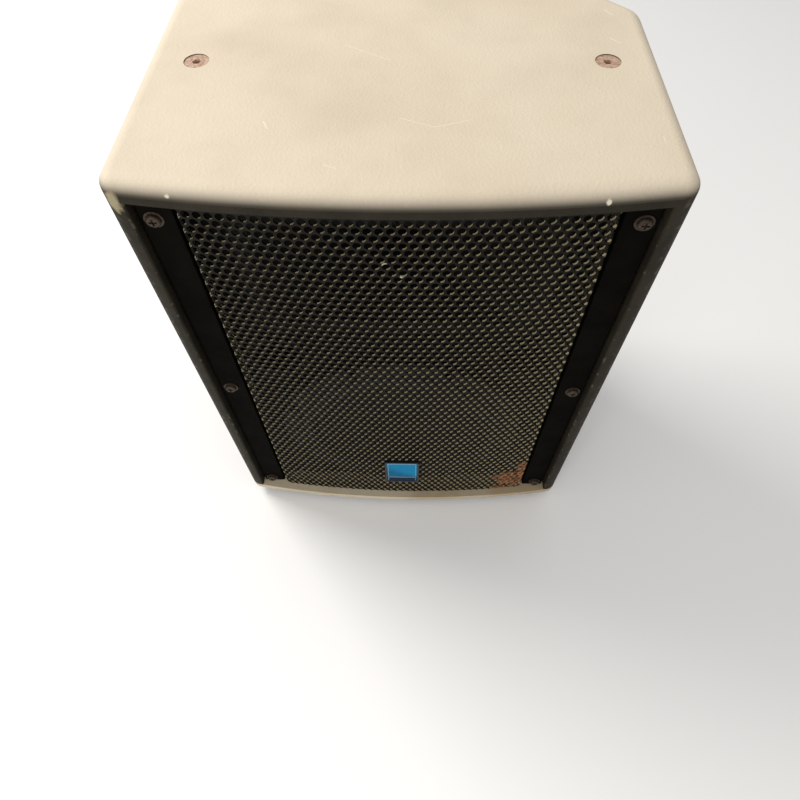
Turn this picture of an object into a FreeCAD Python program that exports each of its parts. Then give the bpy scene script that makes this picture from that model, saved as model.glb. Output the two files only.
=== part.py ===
"""Upright two-way stage monitor cabinet with one wedge-angled rear corner.

Millimetres. +Z is up, the bowed front looks towards -Y, and the origin is under the middle of
the cabinet, in the plane that its feet stand on. One STEP file per sub-part goes to parts/.
"""
import FreeCAD
import Part
import math
import os

V = FreeCAD.Vector
X_AXIS, Y_AXIS, Z_AXIS = V(1, 0, 0), V(0, 1, 0), V(0, 0, 1)

# ---------------------------------------------------------------- driving dimensions
# cabinet
WIDTH = 392.0
HEIGHT = 508.0          # without the feet
DEPTH = 305.0           # from the tip of the bowed lips to the back
FRONT_BOW = 16.0        # how far the lips bow out between the corners
WEDGE_LEG = 75.0        # both legs of the 45 degree rear corner
SIDE_T = 16.0           # side, back and wedge panels
END_T = 18.0            # top and bottom panels
BAFFLE_T = 18.0
EDGE_R = 12.0           # round-over of the top and bottom edges
CORNER_R = 14.0         # upright corners
WEDGE_R = 24.0          # the two blunt upright edges of the wedge face
LIP_R = 3.0             # inner front edge of the side panels
CLEAR = 0.5             # general fitting gap
DRILL_GAP = 0.06        # radial gap of a screw in its hole
CLEAT = 16.0
BRACE_T = 15.0
BRACE_W = 30.0
BRACE_Y = 36.0
BRACE_DROP = 10.0       # brace below the driver

# grille and its rails
LIP_RECESS = 8.0        # from the lips back to the grille
GRILLE_T = 1.5
GRILLE_HALF = 150.0     # half the width between the grille's folded edges
GRILLE_BEND_R = 3.0
GRILLE_FOOT = 8.0       # outward foot clamped under a rail
RAIL_SETBACK = 5.0      # from the corner of the lips back to the rail
RAIL_T = 12.5
RAIL_GAP = 3.5          # between the grille's folded edge and the rail
RAIL_SIDE_GAP = 2.0     # between the rail and the side panel
RAIL_SCREW_INSET = 12.0  # from the side panel's inner face
RAIL_SCREW_TOP = 20.0   # below the top panel
RAIL_SCREW_BOTTOM = 9.5  # above the bottom panel
RAIL_SCREW_R = 2.5
RAIL_SCREW_L = 29.0
WASHER_R = 7.0
WASHER_T = 1.0
RAIL_EDGE_R = 1.2

# badge
BADGE_W = 40.0
BADGE_H = 54.0
BADGE_T = 2.6
BADGE_RIM = 2.0
BADGE_Z = 82.0          # above the cabinet's underside
BADGE_PLATE_SINK = 0.4
BADGE_PLATE_GAP = 0.15

# woofer
WOOFER_R = 129.0        # frame
WOOFER_LIFT = 138.0     # its centre above the bottom panel
WOOFER_CUTOUT_R = 115.0
FRAME_T = 6.0
GASKET_T = 4.0
GASKET_IN_R = 112.0
CONE_R = 93.0
CONE_T = 1.0
CONE_DEPTH = 46.0
COIL_R = 25.6           # mean radius of the voice coil
COIL_T = 1.0
GAP_CLEAR = 0.8         # coil to pole and coil to top plate
MAGNET_R = 60.0
MAGNET_T = 18.0
PLATE_R = 52.0
PLATE_T = 8.0
DUST_CAP_R = 36.0
WOOFER_BOLTS = 8
FRAME_DEPTH = 74.0      # from the flange's face to the magnet seat
SPIDER_DROP = 9.0       # spider behind the cone's neck
SPIDER_R = 60.0
SPIDER_T = 0.8
SPOKES = 6
SPOKE_W = 22.0
CONE_CURVE = 0.86
SURROUND_T = 1.0
POLE_VENT_R = 7.0
FORMER_PROUD = 4.0      # coil former in front of the cone's neck
BOLT_R = 2.5
BOLT_L = 32.0

# horn and compression driver
HORN_W = 250.0
HORN_H = 140.0
HORN_FROM_TOP = 90.0    # horn's centre line below the top panel
HORN_DEPTH = 96.0
HORN_WALL = 3.0
HORN_FLANGE_T = 4.0
THROAT_R = 12.7
DRIVER_R = 42.0
DRIVER_T = 33.0
CAP_T = 10.0
DOME_R = 22.0
HORN_LAND = 11.0        # width of the horn flange that bears on the baffle
HORN_CURVE = 1.5
MOUTH_R = 14.0
FLANGE_CORNER_R = 10.0
HORN_SCREW_R = 2.0
HORN_SCREW_INSET = 5.5
SUSPENSION_T = 0.5

# ports
PORT_R = 25.0           # bore
PORT_WALL = 3.0
PORT_L = 88.0
PORT_FLANGE_R = 31.0
PORT_X = 117.0
PORT_ABOVE_WOOFER = 129.0

# underside
FOOT_H = 8.0
FOOT_R = 14.0
FOOT_INSET = 40.0
WEDGE_FOOT_R = 11.0
WEDGE_FOOT_SPREAD = 30.0
WEDGE_FOOT_INSET = 60.0
POLE_R = 17.75
POLE_L = 75.0
POLE_WALL = 4.0
POLE_FLANGE_R = 42.0
POLE_FLANGE_T = 3.0
POLE_Y = 22.0
FOOT_SCREW_R = 2.0
FOOT_SCREW_L = 14.0

# side handle
HANDLE_L = 140.0        # pocket, upright
HANDLE_W = 80.0
HANDLE_DEPTH = 44.0
HANDLE_RIM = 15.0
HANDLE_SHEET = 2.0
HANDLE_Y = 20.0
GRIP_R = 9.0
GRIP_SINK = 13.0        # grip's centre line below the side face
HANDLE_CORNER_R = 16.0
HANDLE_SCREW_INSET = 8.0

# input plate
PLATE_W = 120.0
PLATE_H = 84.0
INPUT_T = 2.0
INPUT_SINK = 5.0        # plate's face below the back
INPUT_RIM = 10.0
INPUT_X = -40.0
INPUT_LIFT = 130.0      # above the bottom panel
JACK_R = 3.2
JACK_L = 32.0
JACK_SPREAD = 22.0
INPUT_CORNER_R = 5.0
JACK_BUSH_R = 5.2
JACK_BODY_R = 9.0
NUT_R = 7.5
NUT_T = 2.4
INPUT_SCREW_R = 1.8

# fly points
FLY_X = 155.2
FLY_BACK = 136.0        # behind the corners of the front
FLY_SCREW_R = 5.0
FLY_HEAD_R = 9.6
FLY_SCREW_L = 26.0
FLY_SINK = 0.6
FLY_NUT_R = 13.0
FLY_NUT_T = 2.5
FLY_BARREL_R = 7.0
FLY_BARREL_L = 9.0

# crossover
BOARD_W = 116.0
BOARD_D = 92.0
BOARD_T = 1.6
BOARD_LIFT = 8.0
BOARD_X = -104.0
BOARD_Y = 84.0

LEAD_R = 2.2
PAD_INSET = 8.0         # felt pad from the left side panel
PAD_RIGHT = 60.0        # right edge of the felt pad
PAD_DROP = 12.0         # felt pad below the top panel
PAD_LIFT = 16.0         # felt pad above the input plate
CAN_R = 7.5
TERMINAL_L = 12.0
PAD_T = 12.0

# ---------------------------------------------------------------- derived planes
HALF = WIDTH / 2
X_IN = HALF - SIDE_T
Y_TIP = -DEPTH / 2
Y_CORNER = Y_TIP + FRONT_BOW
Y_BACK = DEPTH / 2
Y_BACK_IN = Y_BACK - SIDE_T
Z_LOW = FOOT_H
Z_HIGH = FOOT_H + HEIGHT
Z_IN_LOW = Z_LOW + END_T
Z_IN_HIGH = Z_HIGH - END_T
BOW_R = (HALF ** 2 + FRONT_BOW ** 2) / (2 * FRONT_BOW)
WEDGE_SUM = HALF + Y_BACK - WEDGE_LEG   # x + y on the wedge face
RAIL_Y = Y_CORNER + RAIL_SETBACK
BAFFLE_Y = RAIL_Y + RAIL_T
BAFFLE_BACK = BAFFLE_Y + BAFFLE_T
WOOFER_Z = Z_IN_LOW + WOOFER_LIFT
HORN_Z = Z_IN_HIGH - HORN_FROM_TOP
FAR = 2000.0


# ---------------------------------------------------------------- small makers
def box(x0, x1, y0, y1, z0, z1):
    """A box between its low and high planes."""
    return Part.makeBox(x1 - x0, y1 - y0, z1 - z0, V(x0, y0, z0))


def cylinder(radius, start, length, axis):
    """A round bar from start along axis."""
    return Part.makeCylinder(radius, length, start, axis)


def tube(r_out, r_in, start, length, axis):
    """A round tube from start along axis."""
    return cylinder(r_out, start, length, axis).cut(cylinder(r_in, start, length, axis))


def prism(points, z0, z1):
    """An upright prism on a closed outline of (x, y) points."""
    wire = Part.makePolygon([V(x, y, z0) for x, y in points + points[:1]])
    return Part.Face(wire).extrude(V(0, 0, z1 - z0))


def turned_y(profile, x, z):
    """A closed (radius, y) profile turned about the line along Y through (x, z)."""
    wire = Part.makePolygon([V(x + r, y, z) for r, y in profile + profile[:1]])
    return Part.Face(wire).revolve(V(x, 0, z), Y_AXIS, 360)


def placed(shape, position, axis):
    """A shape made along +Z from the origin, moved to position and turned to look along axis."""
    copy = shape.copy()
    copy.Placement = FreeCAD.Placement(V(*position), FreeCAD.Rotation(Z_AXIS, axis))
    return copy


def group(shapes):
    """Separate solids kept together in one node."""
    return Part.makeCompound([solid for shape in shapes for solid in shape.Solids])


def upright_edges(shape):
    """The straight edges that run along Z."""
    return [e for e in shape.Edges if abs(abs(e.tangentAt(e.FirstParameter).z) - 1) < 1e-6]


def ring_points(count, radius, x, z, turn=0.0):
    """(x, z) points evenly round a circle in a plane across Y."""
    step = 2 * math.pi / count
    angles = [turn + i * step for i in range(count)]
    return [(x + radius * math.cos(a), z + radius * math.sin(a)) for a in angles]


# ---------------------------------------------------------------- fasteners
def pan_screw(head_r, head_h, shank_r, length):
    """Pan head screw: the head lies below z = 0, the shank runs up from there."""
    head = cylinder(head_r, V(0, 0, -head_h), head_h, Z_AXIS)
    rim = [e for e in head.Edges if abs(e.CenterOfMass.z + head_h) < 1e-6 and e.Closed]
    head = head.makeFillet(head_h * 0.6, rim)
    slot_w, slot_l, slot_d = head_r * 0.28, head_r * 1.1, head_h * 0.5
    for wide, long in ((slot_w, slot_l), (slot_l, slot_w)):
        head = head.cut(box(-wide / 2, wide / 2, -long / 2, long / 2, -head_h, slot_d - head_h))
    return head.fuse(cylinder(shank_r, V(0, 0, 0), length, Z_AXIS)).removeSplitter()


def flat_screw(head_r, shank_r, length, socket):
    """Countersunk screw with a hexagon socket: its face is at z = 0, the shank runs up."""
    taper = head_r - shank_r
    shank = cylinder(shank_r, V(0, 0, taper), length - taper, Z_AXIS)
    body = Part.makeCone(head_r, shank_r, taper).fuse(shank)
    corner = socket / math.sqrt(3)
    angles = [math.pi / 3 * i for i in range(6)]
    hexagon = prism([(corner * math.cos(a), corner * math.sin(a)) for a in angles], 0, taper * 0.7)
    return body.cut(hexagon).removeSplitter()


def countersink(head_r, shank_r, sink, length):
    """The room that flat_screw needs, with its face sunk below z = 0."""
    r_big, r_small = head_r + DRILL_GAP, shank_r + DRILL_GAP
    mouth = cylinder(r_big, V(0, 0, 0), sink, Z_AXIS)
    taper = Part.makeCone(r_big, r_small, head_r - shank_r, V(0, 0, sink))
    return mouth.fuse([taper, cylinder(r_small, V(0, 0, sink), length, Z_AXIS)])


# ---------------------------------------------------------------- cabinet
def bow_y(x, setback=0.0):
    """Y of the bowed front at x, set back from the lips."""
    return Y_TIP + setback + BOW_R - math.sqrt(BOW_R ** 2 - x ** 2)


def bowed_block(half, setback, y_back, z0, z1):
    """A block with the bowed front, flat sides and a flat back."""
    left = V(-half, bow_y(half, setback), z0)
    right = V(half, bow_y(half, setback), z0)
    front = Part.Arc(left, V(0, bow_y(0, setback), z0), right)
    corners = [right, V(half, y_back, z0), V(-half, y_back, z0), left]
    edges = [front.toShape()] + [Part.makeLine(a, b) for a, b in zip(corners, corners[1:])]
    return Part.Face(Part.Wire(edges)).extrude(V(0, 0, z1 - z0))


def beyond_wedge(inset):
    """Everything outside the wedge plane moved in by inset."""
    total = WEDGE_SUM - inset * math.sqrt(2)
    return prism([(FAR, total - FAR), (FAR, FAR), (total - FAR, FAR)], -FAR, FAR)


def rounded_outside():
    """The whole cabinet as one rounded block."""
    block = bowed_block(HALF, 0, Y_BACK, Z_LOW, Z_HIGH).cut(beyond_wedge(0))
    edges = upright_edges(block)
    blunt = [e for e in edges if abs(e.CenterOfMass.x + e.CenterOfMass.y - WEDGE_SUM) < 1e-3]
    sharp = [e for e in edges if e.CenterOfMass.y < 0 or e.CenterOfMass.x < 0]
    block = block.makeFillet(CORNER_R, sharp)
    centres = [b.CenterOfMass for b in blunt]
    near = [e for e in upright_edges(block) for c in centres if e.CenterOfMass.distanceToPoint(c) < 1e-3]
    block = block.makeFillet(WEDGE_R, near)
    ends = [e for e in block.Edges
            if abs(e.CenterOfMass.z - Z_LOW) < 1e-6 or abs(e.CenterOfMass.z - Z_HIGH) < 1e-6]
    return block.makeFillet(EDGE_R, ends)


def lip_rounding(side):
    """What is taken off the inner front edge of a side panel."""
    x0, y0 = side * X_IN, bow_y(X_IN)
    xs = sorted((x0 - side * 1.0, x0 + side * LIP_R))
    corner = box(xs[0], xs[1], y0 - LIP_R, y0 + LIP_R, Z_IN_LOW, Z_IN_HIGH)
    return corner.cut(cylinder(LIP_R, V(x0 + side * LIP_R, y0 + LIP_R, Z_IN_LOW), HEIGHT, Z_AXIS))


def make_shell():
    """The six outer panels, cut from one rounded block."""
    outside = rounded_outside()
    inside = box(-X_IN, X_IN, Y_TIP - FAR, Y_BACK_IN, Z_IN_LOW, Z_IN_HIGH).cut(beyond_wedge(SIDE_T))
    walls = outside.cut(inside)
    band = walls.common(box(-FAR, FAR, -FAR, FAR, Z_IN_LOW, Z_IN_HIGH))
    wedge_side = beyond_wedge(SIDE_T)
    back_side = box(-FAR, FAR, Y_BACK_IN, FAR, -FAR, FAR)
    right = band.common(box(X_IN, FAR, -FAR, FAR, -FAR, FAR)).cut(wedge_side)
    left = band.common(box(-FAR, -X_IN, -FAR, FAR, -FAR, FAR)).cut(back_side)
    return {
        "top_panel": outside.common(box(-FAR, FAR, -FAR, FAR, Z_IN_HIGH, FAR)),
        "bottom_panel": outside.common(box(-FAR, FAR, -FAR, FAR, -FAR, Z_IN_LOW)),
        "left_side_panel": left.cut(lip_rounding(-1)),
        "right_side_panel": right.cut(lip_rounding(1)),
        "wedge_panel": band.common(wedge_side),
        "back_panel": band.common(back_side).cut(wedge_side),
    }


def make_baffle():
    """Front baffle with its cut-outs, the cleats behind it and a cross brace."""
    baffle = box(-X_IN, X_IN, BAFFLE_Y, BAFFLE_BACK, Z_IN_LOW, Z_IN_HIGH)
    baffle = baffle.cut(cylinder(WOOFER_CUTOUT_R, V(0, BAFFLE_Y, WOOFER_Z), BAFFLE_T, Y_AXIS))
    half_w, half_h = HORN_W / 2 - HORN_LAND, HORN_H / 2 - HORN_LAND
    baffle = baffle.cut(box(-half_w, half_w, BAFFLE_Y, BAFFLE_BACK, HORN_Z - half_h, HORN_Z + half_h))
    for x, z in port_places():
        baffle = baffle.cut(cylinder(PORT_R + PORT_WALL + DRILL_GAP, V(x, BAFFLE_Y, z), BAFFLE_T, Y_AXIS))
    uprights = [sorted((side * X_IN, side * (X_IN - CLEAT))) for side in (-1, 1)]
    cleats = [box(x0, x1, BAFFLE_BACK, BAFFLE_BACK + CLEAT, Z_IN_LOW, Z_IN_HIGH) for x0, x1 in uprights]
    inner = X_IN - CLEAT
    for z0, z1 in ((Z_IN_LOW, Z_IN_LOW + CLEAT), (Z_IN_HIGH - CLEAT, Z_IN_HIGH)):
        cleats.append(box(-inner, inner, BAFFLE_BACK, BAFFLE_BACK + CLEAT, z0, z1))
    brace_z = HORN_Z - DRIVER_R - BRACE_T - BRACE_DROP
    brace = box(-X_IN, X_IN, BRACE_Y, BRACE_Y + BRACE_W, brace_z, brace_z + BRACE_T)
    return {"front_baffle": baffle, "baffle_cleats": group(cleats), "cross_brace": brace}


# ---------------------------------------------------------------- grille, rails and badge
def make_grille():
    """Bowed sheet with folded edges and a foot each side, as a plain sheet."""
    z0, z1 = Z_IN_LOW + CLEAR, Z_IN_HIGH - CLEAR
    outer = bowed_block(GRILLE_HALF, LIP_RECESS, BAFFLE_Y, z0, z1)
    outer = outer.makeFillet(GRILLE_BEND_R, front_corners(outer))
    half = GRILLE_HALF - GRILLE_T
    inner = bowed_block(half, LIP_RECESS + GRILLE_T, BAFFLE_Y + FAR, z0, z1)
    inner = inner.makeFillet(GRILLE_BEND_R - GRILLE_T, front_corners(inner))
    sheet = outer.cut(inner)
    for side in (-1, 1):
        x0, x1 = sorted((side * half, side * (GRILLE_HALF + GRILLE_FOOT)))
        sheet = sheet.fuse(box(x0, x1, BAFFLE_Y - GRILLE_T, BAFFLE_Y, z0, z1))
    return sheet.removeSplitter()


def front_corners(block):
    """The two upright edges where a bowed front meets its sides."""
    return [e for e in upright_edges(block) if e.CenterOfMass.y < Y_CORNER + LIP_RECESS + GRILLE_T]


def rail_screw_places():
    """(x, z) of the rail screws, three a side."""
    low, high = Z_IN_LOW + RAIL_SCREW_BOTTOM, Z_IN_HIGH - RAIL_SCREW_TOP
    x = X_IN - RAIL_SCREW_INSET
    return [(side * x, z) for side in (-1, 1) for z in (low, (low + high) / 2, high)]


def make_rails():
    """Flat rails that clamp the grille's feet, with screws and washers."""
    rails = {}
    inner = GRILLE_HALF + RAIL_GAP
    for side, name in ((-1, "left_grille_rail"), (1, "right_grille_rail")):
        x0, x1 = sorted((side * inner, side * (X_IN - RAIL_SIDE_GAP)))
        rail = box(x0, x1, RAIL_Y, BAFFLE_Y, Z_IN_LOW + CLEAR, Z_IN_HIGH - CLEAR)
        front_edges = [e for e in upright_edges(rail) if e.CenterOfMass.y < RAIL_Y + CLEAR]
        rail = rail.makeFillet(RAIL_EDGE_R, front_edges)
        f0, f1 = sorted((side * (inner - CLEAR), side * (GRILLE_HALF + GRILLE_FOOT + CLEAR)))
        rails[name] = rail.cut(box(f0, f1, BAFFLE_Y - GRILLE_T, BAFFLE_Y, Z_IN_LOW, Z_IN_HIGH))
    bearing = RAIL_Y - WASHER_T
    one_screw = pan_screw(RAIL_SCREW_R * 2.1, RAIL_SCREW_R * 1.3, RAIL_SCREW_R, RAIL_SCREW_L)
    screws, washers = [], []
    for x, z in rail_screw_places():
        screws.append(placed(one_screw, (x, bearing, z), Y_AXIS))
        washers.append(tube(WASHER_R, RAIL_SCREW_R + 2 * DRILL_GAP, V(x, bearing, z), WASHER_T, Y_AXIS))
        hole = cylinder(RAIL_SCREW_R + 2 * DRILL_GAP, V(x, RAIL_Y - 1, z), RAIL_T + 2, Y_AXIS)
        name = "left_grille_rail" if x < 0 else "right_grille_rail"
        rails[name] = rails[name].cut(hole)
    rails["rail_screws"] = group(screws)
    rails["rail_washers"] = group(washers)
    return rails


def make_badge():
    """A shallow rim on the grille that holds a plain plate."""
    y_back = bow_y(0, LIP_RECESS)
    z = Z_LOW + BADGE_Z
    half_w, half_h = BADGE_W / 2, BADGE_H / 2
    rim = box(-half_w, half_w, y_back - BADGE_T, y_back, z - half_h, z + half_h)
    corners = [e for e in rim.Edges if abs(e.tangentAt(e.FirstParameter).y) > 0.99]
    rim = rim.makeFillet(BADGE_RIM, corners)
    in_w, in_h = half_w - BADGE_RIM, half_h - BADGE_RIM
    floor = y_back - BADGE_T / 2
    rim = rim.cut(box(-in_w, in_w, y_back - BADGE_T, floor, z - in_h, z + in_h))
    face = y_back - BADGE_T + BADGE_PLATE_SINK
    gap = BADGE_PLATE_GAP
    plate = box(-in_w + gap, in_w - gap, face, floor, z - in_h + gap, z + in_h - gap)
    return {"badge_rim": rim, "badge_plate": plate}


# ---------------------------------------------------------------- woofer
def woofer_levels():
    """Y of the woofer's planes, from its flange back."""
    flange = BAFFLE_Y - FRAME_T
    gap_front = flange + FRAME_DEPTH
    return {
        "flange": flange,
        "gasket": flange - GASKET_T,
        "cone_neck": flange + CONE_DEPTH,
        "spider": flange + CONE_DEPTH + SPIDER_DROP,
        "gap_front": gap_front,
        "magnet": gap_front + PLATE_T,
        "back_plate": gap_front + PLATE_T + MAGNET_T,
    }


def make_basket(level):
    """Pressed frame: flange, spoked cone and the seat for the magnet."""
    flange, seat, wall = level["flange"], level["gap_front"], 2.5
    ledge = level["spider"] + SPIDER_T
    cut_r = WOOFER_CUTOUT_R - CLEAR
    profile = [
        (WOOFER_R, flange), (WOOFER_R, BAFFLE_Y), (cut_r, BAFFLE_Y), (cut_r, BAFFLE_Y + FRAME_T),
        (SPIDER_R + 8, ledge + wall), (SPIDER_R + 4, ledge + wall), (PLATE_R + 2, seat),
        (COIL_R + 6, seat), (COIL_R + 6, seat - wall), (PLATE_R, seat - wall), (SPIDER_R - 4, ledge + wall),
        (SPIDER_R - 4, ledge), (SPIDER_R + 6, ledge),
        (cut_r - wall, BAFFLE_Y + FRAME_T - wall), (cut_r - wall, flange),
    ]
    basket = turned_y(profile, 0, WOOFER_Z)
    y0, y1 = BAFFLE_Y + FRAME_T + 4, ledge - 4
    ring = tube(FAR / 4, SPIDER_R + 2, V(0, y0, WOOFER_Z), y1 - y0, Y_AXIS)
    for i in range(SPOKES):
        spoke = box(0, FAR, y0, y1, -SPOKE_W / 2, SPOKE_W / 2)
        spoke.rotate(V(0, 0, 0), Y_AXIS, 360 * (i + 0.5) / SPOKES)
        spoke.translate(V(0, 0, WOOFER_Z))
        ring = ring.cut(spoke)
    return basket.cut(ring)


def cone_wall(level):
    """Paper cone with a flat lip under the surround and a neck round the coil former."""
    lip, neck = level["flange"], level["cone_neck"]
    front = [(CONE_R, lip), (CONE_R - 5, lip)]
    radii = [CONE_R - 5, (CONE_R + DUST_CAP_R) / 2, DUST_CAP_R, COIL_R + COIL_T]
    depth = neck - lip
    span = radii[0] - radii[-1]
    curve = [(r, lip + depth * ((radii[0] - r) / span) ** CONE_CURVE) for r in radii[1:]]
    back = [(r, y + CONE_T) for r, y in reversed(curve)]
    return turned_y(front + curve + back + [(CONE_R - 5, lip + CONE_T), (CONE_R, lip + CONE_T)], 0, WOOFER_Z)


def cone_y(level, radius):
    """Y of the cone's front face at a radius."""
    depth = level["cone_neck"] - level["flange"]
    span = CONE_R - 5 - COIL_R - COIL_T
    return level["flange"] + depth * ((CONE_R - 5 - radius) / span) ** CONE_CURVE


def dome(base_r, height, wall, x, y, z, toward):
    """A thin domed cap on a circle of base_r, bulging along toward (+1 or -1 on Y)."""
    radius = (base_r ** 2 + height ** 2) / (2 * height)
    centre = V(x, y - toward * (radius - height), z)
    ball = Part.makeSphere(radius, centre).cut(Part.makeSphere(radius - wall, centre))
    ys = sorted((y, y + toward * (height + 1)))
    return ball.common(box(x - FAR, x + FAR, ys[0], ys[1], z - FAR, z + FAR))


def make_woofer():
    """Every piece of the woofer."""
    level = woofer_levels()
    flange, gasket = level["flange"], level["gasket"]
    axis_at = lambda y: V(0, y, WOOFER_Z)
    coil_in, coil_out = COIL_R - COIL_T / 2, COIL_R + COIL_T / 2
    roll_mid, roll_r = (GASKET_IN_R + CONE_R) / 2, (GASKET_IN_R - CONE_R) / 2
    roll = [(roll_mid + roll_r * math.cos(a), flange - roll_r * math.sin(a)) for a in half_turn_steps(8)]
    thin = roll_r - SURROUND_T
    back_steps = reversed(half_turn_steps(8))
    under = [(roll_mid + thin * math.cos(a), flange - thin * math.sin(a)) for a in back_steps]
    surround = turned_y(roll + [(CONE_R - 4, flange - SURROUND_T), (CONE_R - 4, flange)] + under, 0, WOOFER_Z)
    edge = tube(GASKET_IN_R - CLEAR / 2, roll_mid + thin, axis_at(flange - SURROUND_T), SURROUND_T, Y_AXIS)
    cap_y = cone_y(level, DUST_CAP_R)
    pole_r = coil_in - GAP_CLEAR
    back_plate = cylinder(PLATE_R, axis_at(level["back_plate"]), PLATE_T, Y_AXIS)
    pole = cylinder(pole_r, axis_at(level["gap_front"]), PLATE_T + MAGNET_T, Y_AXIS)
    vent = cylinder(POLE_VENT_R, axis_at(level["gap_front"] - 1), 2 * PLATE_T + MAGNET_T + 2, Y_AXIS)
    former_y = level["cone_neck"] - FORMER_PROUD
    former = tube(COIL_R, coil_in, axis_at(former_y), level["magnet"] + 4 - former_y, Y_AXIS)
    winding = tube(coil_out, COIL_R, axis_at(level["gap_front"] - 2), PLATE_T + 4, Y_AXIS)
    bolts, nuts = [], []
    bolt = pan_screw(5.0, 3.4, BOLT_R, BOLT_L)
    bore_r = BOLT_R + DRILL_GAP
    barrel = tube(4.0, bore_r, V(0, 0, -9), 9, Z_AXIS)
    nut = tube(9.0, bore_r, V(0, 0, 0), 1.6, Z_AXIS).fuse(barrel)
    for x, z in woofer_bolt_places():
        bolts.append(placed(bolt, (x, gasket, z), Y_AXIS))
        nuts.append(placed(nut, (x, BAFFLE_BACK, z), Y_AXIS))
    gasket_ring = tube(WOOFER_R, GASKET_IN_R, axis_at(gasket), GASKET_T, Y_AXIS)
    basket = make_basket(level)
    for x, z in woofer_bolt_places():
        hole = cylinder(BOLT_R + DRILL_GAP, V(x, gasket - 1, z), FRAME_T + GASKET_T + 2, Y_AXIS)
        gasket_ring, basket = gasket_ring.cut(hole), basket.cut(hole)
    return {
        "woofer_basket": basket,
        "woofer_gasket": gasket_ring,
        "woofer_surround": surround.fuse(edge).removeSplitter(),
        "woofer_cone": cone_wall(level),
        "dust_cap": dome(DUST_CAP_R, 11.0, 0.8, 0, cap_y, WOOFER_Z, -1),
        "voice_coil": former.fuse(winding).removeSplitter(),
        "spider": tube(SPIDER_R, COIL_R + DRILL_GAP, axis_at(level["spider"]), SPIDER_T, Y_AXIS),
        "magnet_top_plate": tube(PLATE_R, coil_out + GAP_CLEAR, axis_at(level["gap_front"]), PLATE_T, Y_AXIS),
        "magnet_ring": tube(MAGNET_R, coil_out + 6, axis_at(level["magnet"]), MAGNET_T, Y_AXIS),
        "pole_piece": back_plate.fuse(pole).cut(vent).removeSplitter(),
        "woofer_bolts": group(bolts),
        "woofer_tee_nuts": group(nuts),
    }


def half_turn_steps(count):
    """Angles from 0 to 180 degrees in even steps."""
    return [math.pi * i / count for i in range(count + 1)]


def woofer_bolt_places():
    """(x, z) of the woofer's bolts."""
    radius = (WOOFER_R + GASKET_IN_R) / 2 + 1.5
    return ring_points(WOOFER_BOLTS, radius, 0, WOOFER_Z, math.pi / WOOFER_BOLTS)


# ---------------------------------------------------------------- horn and driver
def rounded_section(half_w, half_h, radius, y):
    """A rounded rectangle in a plane across Y, centred on the horn's axis."""
    cx, cz = half_w - radius, half_h - radius
    root = radius / math.sqrt(2)
    edges = []
    for sx, sz in ((1, 1), (-1, 1), (-1, -1), (1, -1)):
        centre = V(sx * cx, y, HORN_Z + sz * cz)
        side_end = centre + V(sx * radius, 0, 0)
        level_end = centre + V(0, 0, sz * radius)
        middle = centre + V(sx * root, 0, sz * root)
        first, last = (side_end, level_end) if sx * sz > 0 else (level_end, side_end)
        if edges:
            edges.append(Part.makeLine(edges[-1].Vertexes[-1].Point, first))
        edges.append(Part.Arc(first, middle, last).toShape())
    edges.append(Part.makeLine(edges[-1].Vertexes[-1].Point, edges[0].Vertexes[0].Point))
    return Part.Wire(edges)


def horn_flare(wall, y_front, y_back):
    """The horn's flare as a solid, wall thicker than its air space."""
    throat, steps = THROAT_R + wall, 5
    mouth_w, mouth_h = HORN_W / 2 - HORN_LAND - HORN_WALL - CLEAR, HORN_H / 2 - HORN_LAND - HORN_WALL - CLEAR
    sections = []
    for i in range(steps + 1):
        t = i / steps
        half_w = throat + 0.4 + (mouth_w + wall - throat) * t ** HORN_CURVE
        half_h = throat + 0.4 + (mouth_h + wall - throat) * t ** (HORN_CURVE * 0.8)
        corner_r = throat * (1 - t) + MOUTH_R * t
        sections.append(rounded_section(half_w, half_h, corner_r, y_back + (y_front - y_back) * t))
    return Part.makeLoft(sections, True, False)


def make_horn():
    """Horn with its flange, screws and the compression driver behind it."""
    front, throat_y = BAFFLE_Y - HORN_FLANGE_T, BAFFLE_Y + HORN_DEPTH
    half_w, half_h = HORN_W / 2, HORN_H / 2
    flange = box(-half_w, half_w, front, BAFFLE_Y, HORN_Z - half_h, HORN_Z + half_h)
    corners = [e for e in flange.Edges if abs(e.tangentAt(e.FirstParameter).y) > 0.99]
    flange = flange.makeFillet(FLANGE_CORNER_R, corners)
    driver_flange = cylinder(DRIVER_R - 4, V(0, throat_y - 4, HORN_Z), 4, Y_AXIS)
    body = horn_flare(HORN_WALL, front + 1, throat_y).fuse([flange, driver_flange])
    horn = body.cut(horn_flare(0, front, throat_y))
    horn = horn.cut(cylinder(THROAT_R, V(0, throat_y - 6, HORN_Z), 8, Y_AXIS))
    screw = pan_screw(4.5, 3.0, HORN_SCREW_R, 20.0)
    screws = []
    for x, z in horn_screw_places():
        screws.append(placed(screw, (x, front, z), Y_AXIS))
        horn = horn.cut(cylinder(HORN_SCREW_R + DRILL_GAP, V(x, front - 1, z), HORN_FLANGE_T + 2, Y_AXIS))
    return {"horn": horn, "horn_screws": group(screws)}


def horn_screw_places():
    """(x, z) of the horn's screws: the corners and the middles of the long sides."""
    x, z = HORN_W / 2 - HORN_SCREW_INSET - 2.5, HORN_H / 2 - HORN_SCREW_INSET
    return [(sx * x, HORN_Z + sz * z) for sx in (-1, 0, 1) for sz in (-1, 1)]


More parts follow.
